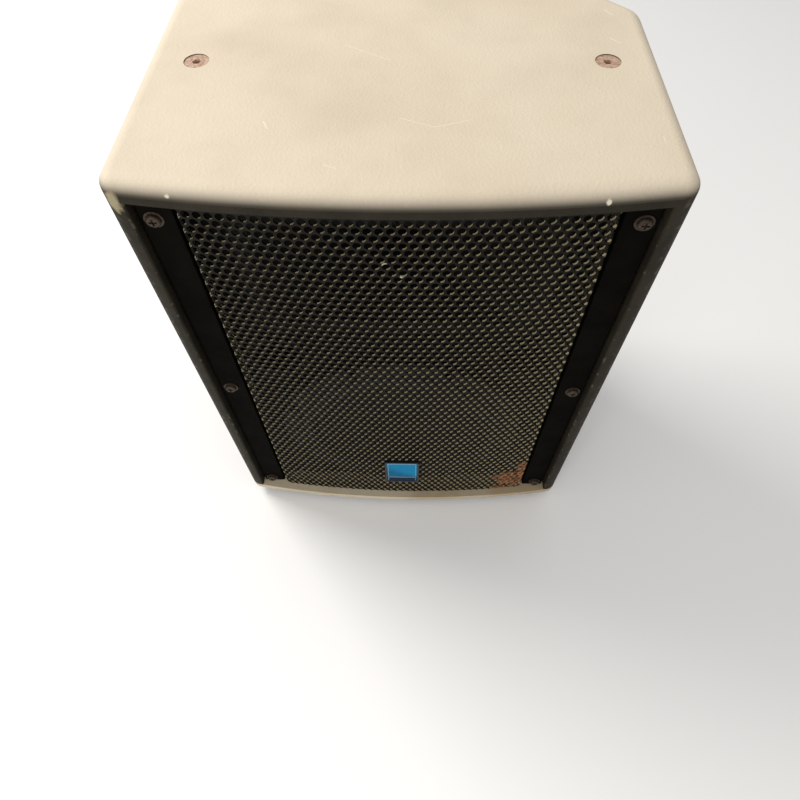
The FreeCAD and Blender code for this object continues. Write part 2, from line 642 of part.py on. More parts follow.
def make_driver():
    """Compression driver: body, phase plug, diaphragm with its suspension, and the rear cap."""
    y0 = BAFFLE_Y + HORN_DEPTH
    chamber_y = y0 + 9
    chamber_r = DOME_R + 8
    at = lambda y: V(0, y, HORN_Z)
    body = cylinder(DRIVER_R, at(y0), DRIVER_T, Y_AXIS)
    body = body.cut(cylinder(THROAT_R, at(y0 - 1), 11, Y_AXIS))
    body = body.cut(cylinder(chamber_r, at(chamber_y), DRIVER_T, Y_AXIS))
    cap = cylinder(DRIVER_R, at(y0 + DRIVER_T), CAP_T, Y_AXIS)
    back = [e for e in cap.Edges if e.Closed and abs(e.CenterOfMass.y - y0 - DRIVER_T - CAP_T) < 1e-6]
    cap = cap.makeFillet(3.0, back).cut(cylinder(DOME_R + 4, at(y0 + DRIVER_T - 1), CAP_T - 3, Y_AXIS))
    dome_y = chamber_y + 9.5
    clamp_l = y0 + DRIVER_T - dome_y - SUSPENSION_T
    clamp = tube(chamber_r - 0.2, DOME_R + 4, at(dome_y + SUSPENSION_T), clamp_l, Y_AXIS)
    seat = tube(chamber_r, DOME_R + 4, at(chamber_y), dome_y - chamber_y, Y_AXIS)
    web = box(-DOME_R - 3.8, DOME_R + 3.8, chamber_y, chamber_y + 2.5, HORN_Z - 2, HORN_Z + 2)
    web = web.common(cylinder(DOME_R + 3.8, at(chamber_y), 2.5, Y_AXIS))
    plug_profile = [(0, y0 + 1), (3.0, y0 + 2), (THROAT_R - 2.2, chamber_y),
                    (DOME_R - 2.5, chamber_y + 8), (0, chamber_y + 8)]
    former = tube(DOME_R, DOME_R - 0.5, at(dome_y - 5.5), 5.5, Y_AXIS)
    return {
        "driver_body": body.fuse(seat).removeSplitter(),
        "driver_cap": cap.fuse(clamp).removeSplitter(),
        "phase_plug": turned_y(plug_profile, 0, HORN_Z).fuse(web).removeSplitter(),
        "diaphragm": dome(DOME_R, 7.0, 0.5, 0, dome_y, HORN_Z, 1).fuse(former).removeSplitter(),
        "diaphragm_suspension": tube(chamber_r - 0.2, DOME_R + 0.3, at(dome_y), SUSPENSION_T, Y_AXIS),
    }


# ---------------------------------------------------------------- ports
def port_places():
    """(x, z) of the two ports."""
    return [(side * PORT_X, WOOFER_Z + PORT_ABOVE_WOOFER) for side in (-1, 1)]


def make_ports():
    """Two flanged port tubes in the baffle."""
    tubes = []
    for x, z in port_places():
        sleeve = cylinder(PORT_R + PORT_WALL, V(x, BAFFLE_Y, z), PORT_L, Y_AXIS)
        rim = cylinder(PORT_FLANGE_R, V(x, BAFFLE_Y - 2, z), 2, Y_AXIS)
        tubes.append(sleeve.fuse(rim).cut(cylinder(PORT_R, V(x, BAFFLE_Y - 3, z), PORT_L + 4, Y_AXIS)))
    return {"port_tubes": group(tubes)}


# ---------------------------------------------------------------- feet and pole socket
def foot(radius, height):
    """A tapered rubber foot standing on z = 0, with a well for its screw."""
    body = Part.makeCone(radius - 2, radius, height)
    well = cylinder(radius * 0.45, V(0, 0, 0), height * 0.55, Z_AXIS)
    return body.cut([well, cylinder(FOOT_SCREW_R + DRILL_GAP, V(0, 0, 0), height, Z_AXIS)])


def foot_places():
    """(x, y) of the four feet under the cabinet."""
    front = Y_CORNER + FOOT_INSET
    back = Y_BACK - FOOT_INSET
    left, right = -HALF + FOOT_INSET, HALF - FOOT_INSET
    wedge_x = WEDGE_SUM - back - FOOT_INSET
    return [(left, front), (right, front), (left, back), (wedge_x, back)]


def wedge_foot_frames():
    """Places on the wedge face, as points on its surface."""
    middle = V((WEDGE_SUM + HALF - Y_BACK) / 2, (WEDGE_SUM - HALF + Y_BACK) / 2, 0)
    along = V(-1, 1, 0).normalize()
    places = []
    for sign in (-1, 1):
        for z in (Z_LOW + WEDGE_FOOT_INSET, Z_HIGH - WEDGE_FOOT_INSET):
            places.append(middle + along * (sign * WEDGE_FOOT_SPREAD) + V(0, 0, z))
    return places


def make_feet():
    """Feet under the cabinet and on the wedge face, with their screws."""
    inward = V(-1, -1, 0).normalize()
    feet, wedge_feet, screws = [], [], []
    screw = pan_screw(4.2, 2.2, FOOT_SCREW_R, FOOT_SCREW_L)
    well = FOOT_H * 0.55
    for x, y in foot_places():
        feet.append(placed(foot(FOOT_R, FOOT_H), (x, y, 0), Z_AXIS))
        screws.append(placed(screw, (x, y, well), Z_AXIS))
    for point in wedge_foot_frames():
        base = point - inward * FOOT_H
        wedge_feet.append(placed(foot(WEDGE_FOOT_R, FOOT_H), tuple(base), inward))
        screws.append(placed(screw, tuple(base + inward * well), inward))
    return {"feet": group(feet), "wedge_feet": group(wedge_feet), "foot_screws": group(screws)}


def pole_bolt_places():
    """(x, y) of the pole socket's bolts."""
    radius = (POLE_R + POLE_WALL + POLE_FLANGE_R) / 2
    return ring_points(4, radius, 0, POLE_Y, math.pi / 4)


def make_pole_socket():
    """A blind socket for a stand pole, flush with the underside."""
    at = lambda z: V(0, POLE_Y, z)
    flange = cylinder(POLE_FLANGE_R, at(Z_LOW), POLE_FLANGE_T, Z_AXIS)
    cup = cylinder(POLE_R + POLE_WALL, at(Z_LOW), POLE_L + POLE_WALL, Z_AXIS)
    socket = flange.fuse(cup).cut(cylinder(POLE_R, at(Z_LOW - 1), POLE_L + 1, Z_AXIS))
    screws = []
    for x, y in pole_bolt_places():
        screws.append(placed(flat_screw(5.0, 2.5, 16.0, 3.0), (x, y, Z_LOW), Z_AXIS))
        socket = socket.cut(placed(countersink(5.0, 2.5, 0.001, 16.0), (x, y, Z_LOW), Z_AXIS))
    return {"pole_socket": socket.removeSplitter(), "pole_socket_screws": group(screws)}


# ---------------------------------------------------------------- handle
def handle_dish_block(grow, depth):
    """The pocket's block, grown all round, from the side face inwards."""
    z = (Z_LOW + Z_HIGH) / 2
    half_w, half_l = HANDLE_W / 2 + grow, HANDLE_L / 2 + grow
    block = box(-HALF, -HALF + depth, HANDLE_Y - half_w, HANDLE_Y + half_w, z - half_l, z + half_l)
    level = [e for e in block.Edges if abs(e.tangentAt(e.FirstParameter).x) > 0.99]
    return block.makeFillet(HANDLE_CORNER_R + grow, level)


def handle_screw_places():
    """(y, z) of the four handle screws."""
    z = (Z_LOW + Z_HIGH) / 2
    half_w = HANDLE_W / 2 + HANDLE_RIM - HANDLE_SCREW_INSET
    half_l = HANDLE_L / 2 + HANDLE_RIM - HANDLE_SCREW_INSET - 14
    return [(HANDLE_Y + sy * half_w, z + sz * half_l) for sy in (-1, 1) for sz in (-1, 1)]


def make_handle():
    """A recessed side handle: pressed dish, grip bar and screws."""
    z = (Z_LOW + Z_HIGH) / 2
    dish = handle_dish_block(HANDLE_SHEET, HANDLE_DEPTH + HANDLE_SHEET)
    dish = dish.fuse(handle_dish_block(HANDLE_RIM, HANDLE_SHEET))
    dish = dish.cut(handle_dish_block(0, HANDLE_DEPTH))
    x = -HALF + GRIP_SINK
    half_l = HANDLE_L / 2
    grip = cylinder(GRIP_R, V(x, HANDLE_Y, z - half_l), HANDLE_L, Z_AXIS)
    screws = []
    for y, zz in handle_screw_places():
        screws.append(placed(flat_screw(4.0, 2.2, 13.5, 2.5), (-HALF, y, zz), X_AXIS))
        dish = dish.cut(placed(countersink(4.0, 2.2, 0.001, 13.5), (-HALF, y, zz), X_AXIS))
    return {"handle_dish": dish.removeSplitter(), "handle_grip": grip, "handle_screws": group(screws)}


# ---------------------------------------------------------------- input plate
def input_centre():
    """Point on the input plate's outer face."""
    return V(INPUT_X, Y_BACK - INPUT_SINK, Z_IN_LOW + INPUT_LIFT)


def jack_places():
    """(x, z) of the two input sockets."""
    c = input_centre()
    return [(c.x + side * JACK_SPREAD, c.z) for side in (-1, 1)]


def input_screw_places():
    """(x, z) of the plate's corner screws."""
    c = input_centre()
    half_w, half_h = PLATE_W / 2 - INPUT_RIM / 2, PLATE_H / 2 - INPUT_RIM / 2
    return [(c.x + sx * half_w, c.z + sz * half_h) for sx in (-1, 1) for sz in (-1, 1)]


def input_block(shrink, y0, y1):
    """A block behind the input plate's outline, drawn in by shrink."""
    c = input_centre()
    half_w, half_h = PLATE_W / 2 - shrink, PLATE_H / 2 - shrink
    block = box(c.x - half_w, c.x + half_w, y0, y1, c.z - half_h, c.z + half_h)
    corners = [e for e in block.Edges if abs(e.tangentAt(e.FirstParameter).y) > 0.99]
    return block.makeFillet(INPUT_CORNER_R, corners)


def make_input():
    """Sunk input plate with two 6.35 mm jack sockets, their nuts and the plate's screws."""
    face = Y_BACK - INPUT_SINK
    plate = input_block(0, face - INPUT_T, face)
    sockets, nuts, screws = [], [], []
    angles = [math.pi / 3 * i for i in range(6)]
    for x, z in jack_places():
        bush = cylinder(JACK_BUSH_R, V(x, face - INPUT_T, z), INPUT_T + NUT_T, Y_AXIS)
        body = cylinder(JACK_BODY_R, V(x, face - INPUT_T - JACK_L, z), JACK_L, Y_AXIS)
        bore = cylinder(JACK_R, V(x, face + NUT_T - JACK_L, z), JACK_L + 1, Y_AXIS)
        sockets.append(bush.fuse(body).cut(bore).removeSplitter())
        hexagon = prism([(NUT_R * math.cos(a), NUT_R * math.sin(a)) for a in angles], 0, NUT_T)
        nut = hexagon.cut(cylinder(JACK_BUSH_R + DRILL_GAP, V(0, 0, 0), NUT_T, Z_AXIS))
        nuts.append(placed(nut, (x, face, z), Y_AXIS))
        plate = plate.cut(cylinder(JACK_BUSH_R + DRILL_GAP, V(x, face - INPUT_T, z), INPUT_T, Y_AXIS))
    screw = pan_screw(3.6, 2.2, INPUT_SCREW_R, 12.0)
    for x, z in input_screw_places():
        screws.append(placed(screw, (x, face, z), Y_AXIS * -1))
        plate = plate.cut(cylinder(INPUT_SCREW_R + DRILL_GAP, V(x, face - INPUT_T, z), INPUT_T, Y_AXIS))
    return {"input_plate": plate, "jack_sockets": group(sockets), "jack_nuts": group(nuts),
            "input_screws": group(screws)}


# ---------------------------------------------------------------- fly points
def fly_places():
    """(x, y) of the two fly points on the top."""
    return [(side * FLY_X, Y_CORNER + FLY_BACK) for side in (-1, 1)]


def make_fly_points():
    """Blanking screws in tee nuts under the top panel."""
    down = Z_AXIS * -1
    screws, nuts = [], []
    for x, y in fly_places():
        screw = flat_screw(FLY_HEAD_R, FLY_SCREW_R, FLY_SCREW_L, 6.0)
        screws.append(placed(screw, (x, y, Z_HIGH - FLY_SINK), down))
        flange = tube(FLY_NUT_R, FLY_SCREW_R + DRILL_GAP, V(x, y, Z_IN_HIGH - FLY_NUT_T), FLY_NUT_T, Z_AXIS)
        barrel = tube(FLY_BARREL_R, FLY_SCREW_R + DRILL_GAP, V(x, y, Z_IN_HIGH), FLY_BARREL_L, Z_AXIS)
        nuts.append(flange.fuse(barrel).removeSplitter())
    return {"fly_screws": group(screws), "fly_tee_nuts": group(nuts)}


# ---------------------------------------------------------------- crossover and leads
def board_top():
    """Z of the crossover board's upper face."""
    return Z_IN_LOW + BOARD_LIFT + BOARD_T


def make_crossover():
    """Board on standoffs with its coils, capacitors and resistors."""
    half_w, half_d = BOARD_W / 2, BOARD_D / 2
    z0, top = Z_IN_LOW + BOARD_LIFT, board_top()
    board = box(BOARD_X - half_w, BOARD_X + half_w, BOARD_Y - half_d, BOARD_Y + half_d, z0, top)
    posts = []
    for sx in (-1, 1):
        for sy in (-1, 1):
            x, y = BOARD_X + sx * (half_w - 6), BOARD_Y + sy * (half_d - 6)
            posts.append(cylinder(3.5, V(x, y, Z_IN_LOW), BOARD_LIFT, Z_AXIS))
    coils = []
    for dx, dy in ((-30, -20), (26, -20)):
        start = V(BOARD_X + dx, BOARD_Y + dy, top)
        cheeks = [tube(22, 8, start + V(0, 0, lift), 1.5, Z_AXIS) for lift in (0, 18.5)]
        bobbin = tube(19, 8, start, 20, Z_AXIS).fuse(cheeks)
        coils.append(bobbin.removeSplitter())
    can_starts = [V(BOARD_X - 50 + i * 34, BOARD_Y + 18, top + CAN_R) for i in range(3)]
    cans = [cylinder(CAN_R, start, 30, X_AXIS) for start in can_starts]
    ceramic_xs = [BOARD_X - 40 + i * 36 for i in range(2)]
    ceramics = [box(x, x + 26, BOARD_Y + 32, BOARD_Y + 40, top, top + 8) for x in ceramic_xs]
    return {
        "crossover_board": board,
        "board_standoffs": group(posts),
        "crossover_coils": group(coils),
        "crossover_capacitors": group(cans),
        "crossover_resistors": group(ceramics),
    }


def lead(points):
    """A round lead along straight runs joined by the largest tangent arcs."""
    edges = []
    start = points[0]
    for before, corner, after in zip(points, points[1:], points[2:]):
        run_in, run_out = before - corner, after - corner
        reach = 0.45 * min(run_in.Length, run_out.Length)
        unit_in, unit_out = V(run_in).normalize(), V(run_out).normalize()
        half_turn = (math.pi - unit_in.getAngle(unit_out)) / 2
        radius = reach / math.tan(half_turn)
        bisector = (unit_in + unit_out).normalize()
        middle = corner + bisector * (radius / math.cos(half_turn) - radius)
        first, last = corner + unit_in * reach, corner + unit_out * reach
        edges += [Part.makeLine(start, first), Part.Arc(first, middle, last).toShape()]
        start = last
    edges.append(Part.makeLine(start, points[-1]))
    direction = (points[1] - points[0]).normalize()
    outline = Part.Wire([Part.makeCircle(LEAD_R, points[0], direction)])
    return Part.Wire(edges).makePipeShell([outline], True, False)


def make_leads():
    """The leads between the input sockets, the crossover, the woofer and the driver."""
    level = woofer_levels()
    top = board_top()
    jack_x, jack_z = jack_places()[0]
    jack_y = Y_BACK - INPUT_SINK - INPUT_T - JACK_L
    magnet_x = -MAGNET_R
    terminal_y = level["magnet"] + 6
    driver_y = BAFFLE_Y + HORN_DEPTH + DRIVER_T + CAP_T
    edge_x = BOARD_X + BOARD_W / 2 - 4
    routes = {
        "input_lead": [(jack_x, jack_y, jack_z), (jack_x, jack_y - 16, jack_z), (-55, 90, 122),
                       (edge_x, 95, 84),
                       (edge_x, BOARD_Y + 16, top + 22), (edge_x, BOARD_Y + 16, top)],
        "woofer_lead": [(magnet_x - TERMINAL_L, terminal_y, WOOFER_Z),
                        (magnet_x - TERMINAL_L - 14, terminal_y, WOOFER_Z),
                        (-97, -33, WOOFER_Z - 24), (-92, -8, 96), (-66, 30, 70), (edge_x, 46, top + 20),
                        (edge_x, 46, top)],
        "driver_lead": [(-10, driver_y, HORN_Z), (-10, driver_y + 24, HORN_Z),
                        (-16, driver_y + 56, HORN_Z - 22),
                        (-27, 90, HORN_Z - 72), (-33, 93, HORN_Z - 130), (-38, 97, HORN_Z - 190),
                        (-40, 100, HORN_Z - 248),
                        (-38, 108, HORN_Z - 300), (edge_x, BOARD_Y + 34, top + 26),
                        (edge_x, BOARD_Y + 34, top)],
    }
    return {name: lead([V(*p) for p in points]) for name, points in routes.items()}


def make_terminals():
    """Solder terminal block on the edge of the woofer's magnet."""
    level = woofer_levels()
    y0 = level["magnet"] + 1
    block = box(-MAGNET_R - TERMINAL_L, -MAGNET_R + 4, y0, y0 + 10, WOOFER_Z - 9, WOOFER_Z + 9)
    return {"woofer_terminals": block.cut(cylinder(MAGNET_R + DRILL_GAP, V(0, y0 - 1, WOOFER_Z), 12, Y_AXIS))}


def make_damping():
    """Felt pad on the inside of the back panel."""
    z0 = Z_IN_LOW + INPUT_LIFT + PLATE_H / 2 + PAD_LIFT
    pad = box(-X_IN + PAD_INSET, PAD_RIGHT, Y_BACK_IN - PAD_T, Y_BACK_IN, z0, Z_IN_HIGH - PAD_DROP)
    return {"damping_pad": pad}


# ---------------------------------------------------------------- holes through the panels
def drill(nodes, name, tools):
    """Take the tools out of one node."""
    nodes[name] = nodes[name].cut(tools)


def make_room(nodes):
    """Cut what passes through the panels out of them."""
    inward = V(-1, -1, 0).normalize()
    gap = DRILL_GAP
    bottom = [cylinder(POLE_FLANGE_R + gap, V(0, POLE_Y, Z_LOW), POLE_FLANGE_T, Z_AXIS)]
    bottom.append(cylinder(POLE_R + POLE_WALL + gap, V(0, POLE_Y, Z_LOW), END_T, Z_AXIS))
    bottom += [cylinder(2.5 + gap, V(x, y, Z_LOW), 16.2, Z_AXIS) for x, y in pole_bolt_places()]
    bottom += [cylinder(FOOT_SCREW_R + gap, V(x, y, Z_LOW), FOOT_SCREW_L, Z_AXIS) for x, y in foot_places()]
    drill(nodes, "bottom_panel", bottom)
    drill(nodes, "wedge_panel",
          [cylinder(FOOT_SCREW_R + gap, p, FOOT_SCREW_L, inward) for p in wedge_foot_frames()])
    top = []
    for x, y in fly_places():
        top.append(placed(countersink(FLY_HEAD_R, FLY_SCREW_R, FLY_SINK, END_T), (x, y, Z_HIGH), Z_AXIS * -1))
        top.append(cylinder(FLY_BARREL_R + gap, V(x, y, Z_IN_HIGH), FLY_BARREL_L, Z_AXIS))
    drill(nodes, "top_panel", top)
    side = [handle_dish_block(HANDLE_SHEET + gap, SIDE_T), handle_dish_block(HANDLE_RIM + gap, HANDLE_SHEET)]
    side += [cylinder(2.2 + gap, V(-HALF, y, z), SIDE_T - 0.5, X_AXIS) for y, z in handle_screw_places()]
    drill(nodes, "left_side_panel", side)
    face = Y_BACK - INPUT_SINK
    back = [input_block(-gap, face - INPUT_T, Y_BACK), input_block(INPUT_RIM, Y_BACK_IN, Y_BACK)]
    back += [cylinder(INPUT_SCREW_R + gap, V(x, Y_BACK_IN, z), SIDE_T, Y_AXIS)
             for x, z in input_screw_places()]
    drill(nodes, "back_panel", back)
    holes = [cylinder(RAIL_SCREW_R + gap, V(x, BAFFLE_Y, z), BAFFLE_T, Y_AXIS)
             for x, z in rail_screw_places()]
    for x, z in woofer_bolt_places():
        holes.append(cylinder(BOLT_R + gap, V(x, BAFFLE_Y, z), BAFFLE_T, Y_AXIS))
        holes.append(cylinder(4.0 + gap, V(x, BAFFLE_BACK - 9, z), 9, Y_AXIS))
    holes += [cylinder(HORN_SCREW_R + gap, V(x, BAFFLE_Y, z), BAFFLE_T, Y_AXIS)
              for x, z in horn_screw_places()]
    drill(nodes, "front_baffle", holes)


# ---------------------------------------------------------------- the whole cabinet
def make_all():
    """Every node by name."""
    nodes = {"grille": make_grille()}
    makers = [make_shell, make_baffle, make_rails, make_badge, make_woofer, make_horn, make_driver,
              make_ports, make_feet, make_pole_socket, make_handle, make_input, make_fly_points,
              make_crossover, make_leads, make_terminals, make_damping]
    for maker in makers:
        nodes.update(maker())
    make_room(nodes)
    return nodes


def main():
    """Write one STEP file per node."""
    os.makedirs("parts", exist_ok=True)
    for name, shape in make_all().items():
        shape.exportStep("parts/" + name + ".step")
        print(name, len(shape.Solids), round(shape.Volume), shape.isValid())


main()
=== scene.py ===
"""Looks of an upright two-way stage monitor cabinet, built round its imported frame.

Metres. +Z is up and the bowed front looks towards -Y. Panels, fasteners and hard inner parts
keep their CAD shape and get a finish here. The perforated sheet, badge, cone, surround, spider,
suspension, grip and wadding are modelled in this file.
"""
import logging
import math
from dataclasses import dataclass, field
from enum import Enum
from typing import Callable, Sequence

import bpy
from mathutils import Matrix, Vector


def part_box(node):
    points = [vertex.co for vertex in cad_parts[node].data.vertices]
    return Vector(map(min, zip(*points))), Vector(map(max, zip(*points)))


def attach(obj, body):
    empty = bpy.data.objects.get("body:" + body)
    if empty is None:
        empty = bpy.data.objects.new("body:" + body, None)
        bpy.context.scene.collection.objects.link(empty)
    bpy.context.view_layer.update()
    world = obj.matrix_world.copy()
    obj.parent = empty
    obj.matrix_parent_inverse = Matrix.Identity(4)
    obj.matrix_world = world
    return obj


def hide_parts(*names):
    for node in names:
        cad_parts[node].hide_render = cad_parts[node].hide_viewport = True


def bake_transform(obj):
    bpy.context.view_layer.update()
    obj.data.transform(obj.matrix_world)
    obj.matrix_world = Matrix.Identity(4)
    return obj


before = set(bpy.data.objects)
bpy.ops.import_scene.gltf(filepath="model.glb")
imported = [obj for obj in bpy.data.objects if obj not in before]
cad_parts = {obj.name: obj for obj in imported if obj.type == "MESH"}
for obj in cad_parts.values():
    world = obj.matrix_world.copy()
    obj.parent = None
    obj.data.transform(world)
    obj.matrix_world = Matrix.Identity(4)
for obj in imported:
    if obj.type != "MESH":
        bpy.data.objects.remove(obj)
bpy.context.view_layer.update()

LOG = logging.getLogger("cabinet")
MM = 0.001
Colour = tuple[float, float, float, float]
Point = tuple[float, float, float]


class Body(Enum):
    """The bodies that pieces ride on."""

    CABINET = "cabinet"
    CONE = "cone_assembly"
    DIAPHRAGM = "diaphragm_assembly"


def paint(red: int, green: int, blue: int) -> Colour:
    """A display colour of 0 to 255 steps as the linear colour that shaders take.

    Args:
        red: Red step.
        green: Green step.
        blue: Blue step.

    Returns:
        Linear red, green and blue with full alpha.
    """
    def linear(step: int) -> float:
        """One display step made linear."""
        share = step / 255
        return share / 12.92 if share <= 0.04045 else ((share + 0.055) / 1.055) ** 2.4

    return (linear(red), linear(green), linear(blue), 1.0)


# ---------------------------------------------------------------- shader graphs
class Graph:
    """Adds nodes to one node tree and joins them up."""

    def __init__(self, tree: bpy.types.NodeTree) -> None:
        """Keeps the tree that is being wired."""
        self.tree = tree

    def add(self, kind: str, inputs: dict | None = None, **settings: object) -> bpy.types.Node:
        """Adds one node.

        Args:
            kind: Blender's name of the node type.
            inputs: Values or sockets for its inputs, by name or index.
            settings: Properties set on the node itself.

        Returns:
            The new node.
        """
        node = self.tree.nodes.new(kind)
        for key, value in settings.items():
            setattr(node, key, value)
        for key, value in (inputs or {}).items():
            if isinstance(value, bpy.types.NodeSocket):
                self.tree.links.new(value, node.inputs[key])
            else:
                node.inputs[key].default_value = value
        return node

    def calc(self, operation: str, *values: object) -> bpy.types.NodeSocket:
        """One Math node's result."""
        return self.add("ShaderNodeMath", dict(enumerate(values)), operation=operation).outputs[0]

    def vector(self, operation: str, *values: object) -> bpy.types.Node:
        """One Vector Math node."""
        return self.add("ShaderNodeVectorMath", dict(enumerate(values)), operation=operation)

    def step(self, value: object, low: object, high: object) -> bpy.types.NodeSocket:
        """Zero below low, one above high and smooth between."""
        inputs = {"Value": value, "From Min": low, "From Max": high}
        node = self.add("ShaderNodeMapRange", inputs, interpolation_type="SMOOTHSTEP")
        return node.outputs[0]

    def blend(self, factor: object, first: object, second: object) -> bpy.types.NodeSocket:
        """Two colours mixed by factor."""
        inputs = {0: factor, 6: first, 7: second}
        return self.add("ShaderNodeMix", inputs, data_type="RGBA").outputs[2]

    def place(self) -> bpy.types.NodeSocket:
        """The point in the row frame."""
        return self.add("ShaderNodeTexCoord").outputs["Object"]

    def facing(self) -> bpy.types.NodeSocket:
        """The direction that the surface faces."""
        return self.add("ShaderNodeTexCoord").outputs["Normal"]

    def noise(self, scale: object, detail: float = 3.0, stretch: Point = (1, 1, 1)) -> bpy.types.NodeSocket:
        """Cloudy noise on the row frame, finer along the stretched axes."""
        mapped = self.add("ShaderNodeMapping", {"Vector": self.place(), "Scale": stretch})
        inputs = {"Vector": mapped.outputs[0], "Scale": scale, "Detail": detail}
        return self.add("ShaderNodeTexNoise", inputs).outputs[0]

    def effect(self, effect: "Effect", **values: object) -> bpy.types.NodeSocket:
        """Places a shared effect and gives its first output."""
        named = {name.replace("_", " "): value for name, value in values.items()}
        node = self.add("ShaderNodeGroup", node_tree=EFFECTS.tree(effect))
        for key, value in named.items():
            if isinstance(value, bpy.types.NodeSocket):
                self.tree.links.new(value, node.inputs[key])
            else:
                node.inputs[key].default_value = value
        return node.outputs[0]


class Effect(Enum):
    """Effects that several finishes share."""

    # Up-facing mask: real dust, and painted highlight on the cabinet's top.
    SETTLED_DUST = "dust_and_painted_highlight"
    WORN_EDGE = "worn_edge"
    ORANGE_PEEL = "orange_peel"
    SPECKS = "specks"
    SCRATCH = "scratch"
    STAIN = "stain"


class Effects:
    """Node groups for the shared effects, each built once."""

    def __init__(self) -> None:
        """Starts with nothing built."""
        self.built: dict[Effect, bpy.types.NodeTree] = {}

    def tree(self, effect: Effect) -> bpy.types.NodeTree:
        """The node group of an effect, built at its first use."""
        if effect not in self.built:
            self.built[effect] = getattr(self, effect.value)()
        return self.built[effect]

    @staticmethod
    def start(name: str, floats: Sequence[str], points: Sequence[str] = ()) -> tuple[Graph, bpy.types.Node]:
        """Opens a node group.

        Args:
            name: The group's name.
            floats: Names of its number inputs.
            points: Names of its point inputs.

        Returns:
            Its graph and its input node.
        """
        tree = bpy.data.node_groups.new(name, "ShaderNodeTree")
        for title in floats:
            tree.interface.new_socket(name=title, in_out="INPUT", socket_type="NodeSocketFloat")
        for title in points:
            tree.interface.new_socket(name=title, in_out="INPUT", socket_type="NodeSocketVector")
        tree.interface.new_socket(name="Mask", in_out="OUTPUT", socket_type="NodeSocketFloat")
        return Graph(tree), tree.nodes.new("NodeGroupInput")

    @staticmethod
    def close(graph: Graph, result: bpy.types.NodeSocket) -> bpy.types.NodeTree:
        """Sends the result out of the group and gives the group back."""
        graph.add("NodeGroupOutput", {0: result})
        return graph.tree

    def dust_and_painted_highlight(self) -> bpy.types.NodeTree:
        """Dust on faces that look up, broken up by noise; on the cabinet the same mask carries painted
        highlight where light falls on top.
        """
        g, given = self.start("dust_and_painted_highlight", ("Amount", "Scale", "Lowest", "Highest"))
        up = g.add("ShaderNodeSeparateXYZ", {0: g.facing()}).outputs[2]
        level = g.step(up, given.outputs["Lowest"], given.outputs["Highest"])
        broken = g.step(g.noise(given.outputs["Scale"], 5.0), 0.2, 0.62)
        patchy = g.calc("MULTIPLY_ADD", broken, 0.06, 0.94)
        return self.close(g, g.calc("MULTIPLY", g.calc("MULTIPLY", level, patchy), given.outputs["Amount"]))

    def worn_edge(self) -> bpy.types.NodeTree:
        """Rub marks where the surface turns between two flat faces."""
        g, given = self.start("worn_edge", ("Amount", "Scale"))
        apart = g.add("ShaderNodeSeparateXYZ", {0: g.vector("ABSOLUTE", g.facing()).outputs[0]})
        most = g.calc("MAXIMUM", g.calc("MAXIMUM", apart.outputs[0], apart.outputs[1]), apart.outputs[2])
        slant = g.vector("DOT_PRODUCT", g.facing(), (math.sqrt(0.5), math.sqrt(0.5), 0.0)).outputs[1]
        most = g.calc("MAXIMUM", most, slant)
        turning = g.calc("SUBTRACT", 1.0, g.step(most, 0.86, 0.985))
        rubbed = g.step(g.noise(given.outputs["Scale"], 6.0), 0.56, 0.66)
        return self.close(g, g.calc("MULTIPLY", g.calc("MULTIPLY", turning, rubbed), given.outputs["Amount"]))

    def orange_peel(self) -> bpy.types.NodeTree:
        """The height of a sprayed texture coat."""
        g, given = self.start("orange_peel", ("Scale", "Height"))
        inputs = {"Vector": g.place(), "Scale": given.outputs["Scale"]}
        cells = g.add("ShaderNodeTexVoronoi", inputs, feature="SMOOTH_F1").outputs["Distance"]
        fine = g.noise(g.calc("MULTIPLY", given.outputs["Scale"], 2.3), 2.0)
        return self.close(g,
                          g.calc("MULTIPLY", g.calc("ADD", cells, g.calc("MULTIPLY", fine, 0.5)),
                                 given.outputs["Height"]))

    def specks(self) -> bpy.types.NodeTree:
        """Small stray spots."""
        g, given = self.start("specks", ("Scale", "Radius", "Amount"))
        inputs = {"Vector": g.place(), "Scale": given.outputs["Scale"], "Randomness": 1.0}
        cell = g.add("ShaderNodeTexVoronoi", inputs)
        spot = g.calc("SUBTRACT", 1.0,
                      g.step(cell.outputs["Distance"], g.calc("MULTIPLY", given.outputs["Radius"], 0.5),
                             given.outputs["Radius"]))
        chance = g.add("ShaderNodeSeparateXYZ", {0: cell.outputs["Color"]}).outputs[0]
        kept = g.calc("LESS_THAN", chance, given.outputs["Amount"])
        return self.close(g, g.calc("MULTIPLY", spot, kept))

    def scratch(self) -> bpy.types.NodeTree:
        """A ragged line between two points."""
        g, given = self.start("scratch", ("Width", "Strength"), ("From", "To"))
        place = g.place()
        run = g.vector("SUBTRACT", given.outputs["To"], given.outputs["From"]).outputs[0]
        rel = g.vector("SUBTRACT", place, given.outputs["From"]).outputs[0]
        along = g.vector("DOT_PRODUCT", rel, run).outputs[1]
        whole = g.vector("DOT_PRODUCT", run, run).outputs[1]
        share = g.add("ShaderNodeClamp", {0: g.calc("DIVIDE", along, whole)}).outputs[0]
        near = g.add("ShaderNodeVectorMath", {0: run, 3: share}, operation="SCALE").outputs[0]
        away = g.vector("LENGTH", g.vector("SUBTRACT", rel, near).outputs[0]).outputs[1]
        ragged = g.calc("MULTIPLY", g.calc("MULTIPLY_ADD", g.noise(900.0, 3.0), 1.6, 0.2),
                        given.outputs["Width"])
        line = g.calc("SUBTRACT", 1.0, g.step(away, g.calc("MULTIPLY", ragged, 0.4), ragged))
        return self.close(g, g.calc("MULTIPLY", line, given.outputs["Strength"]))

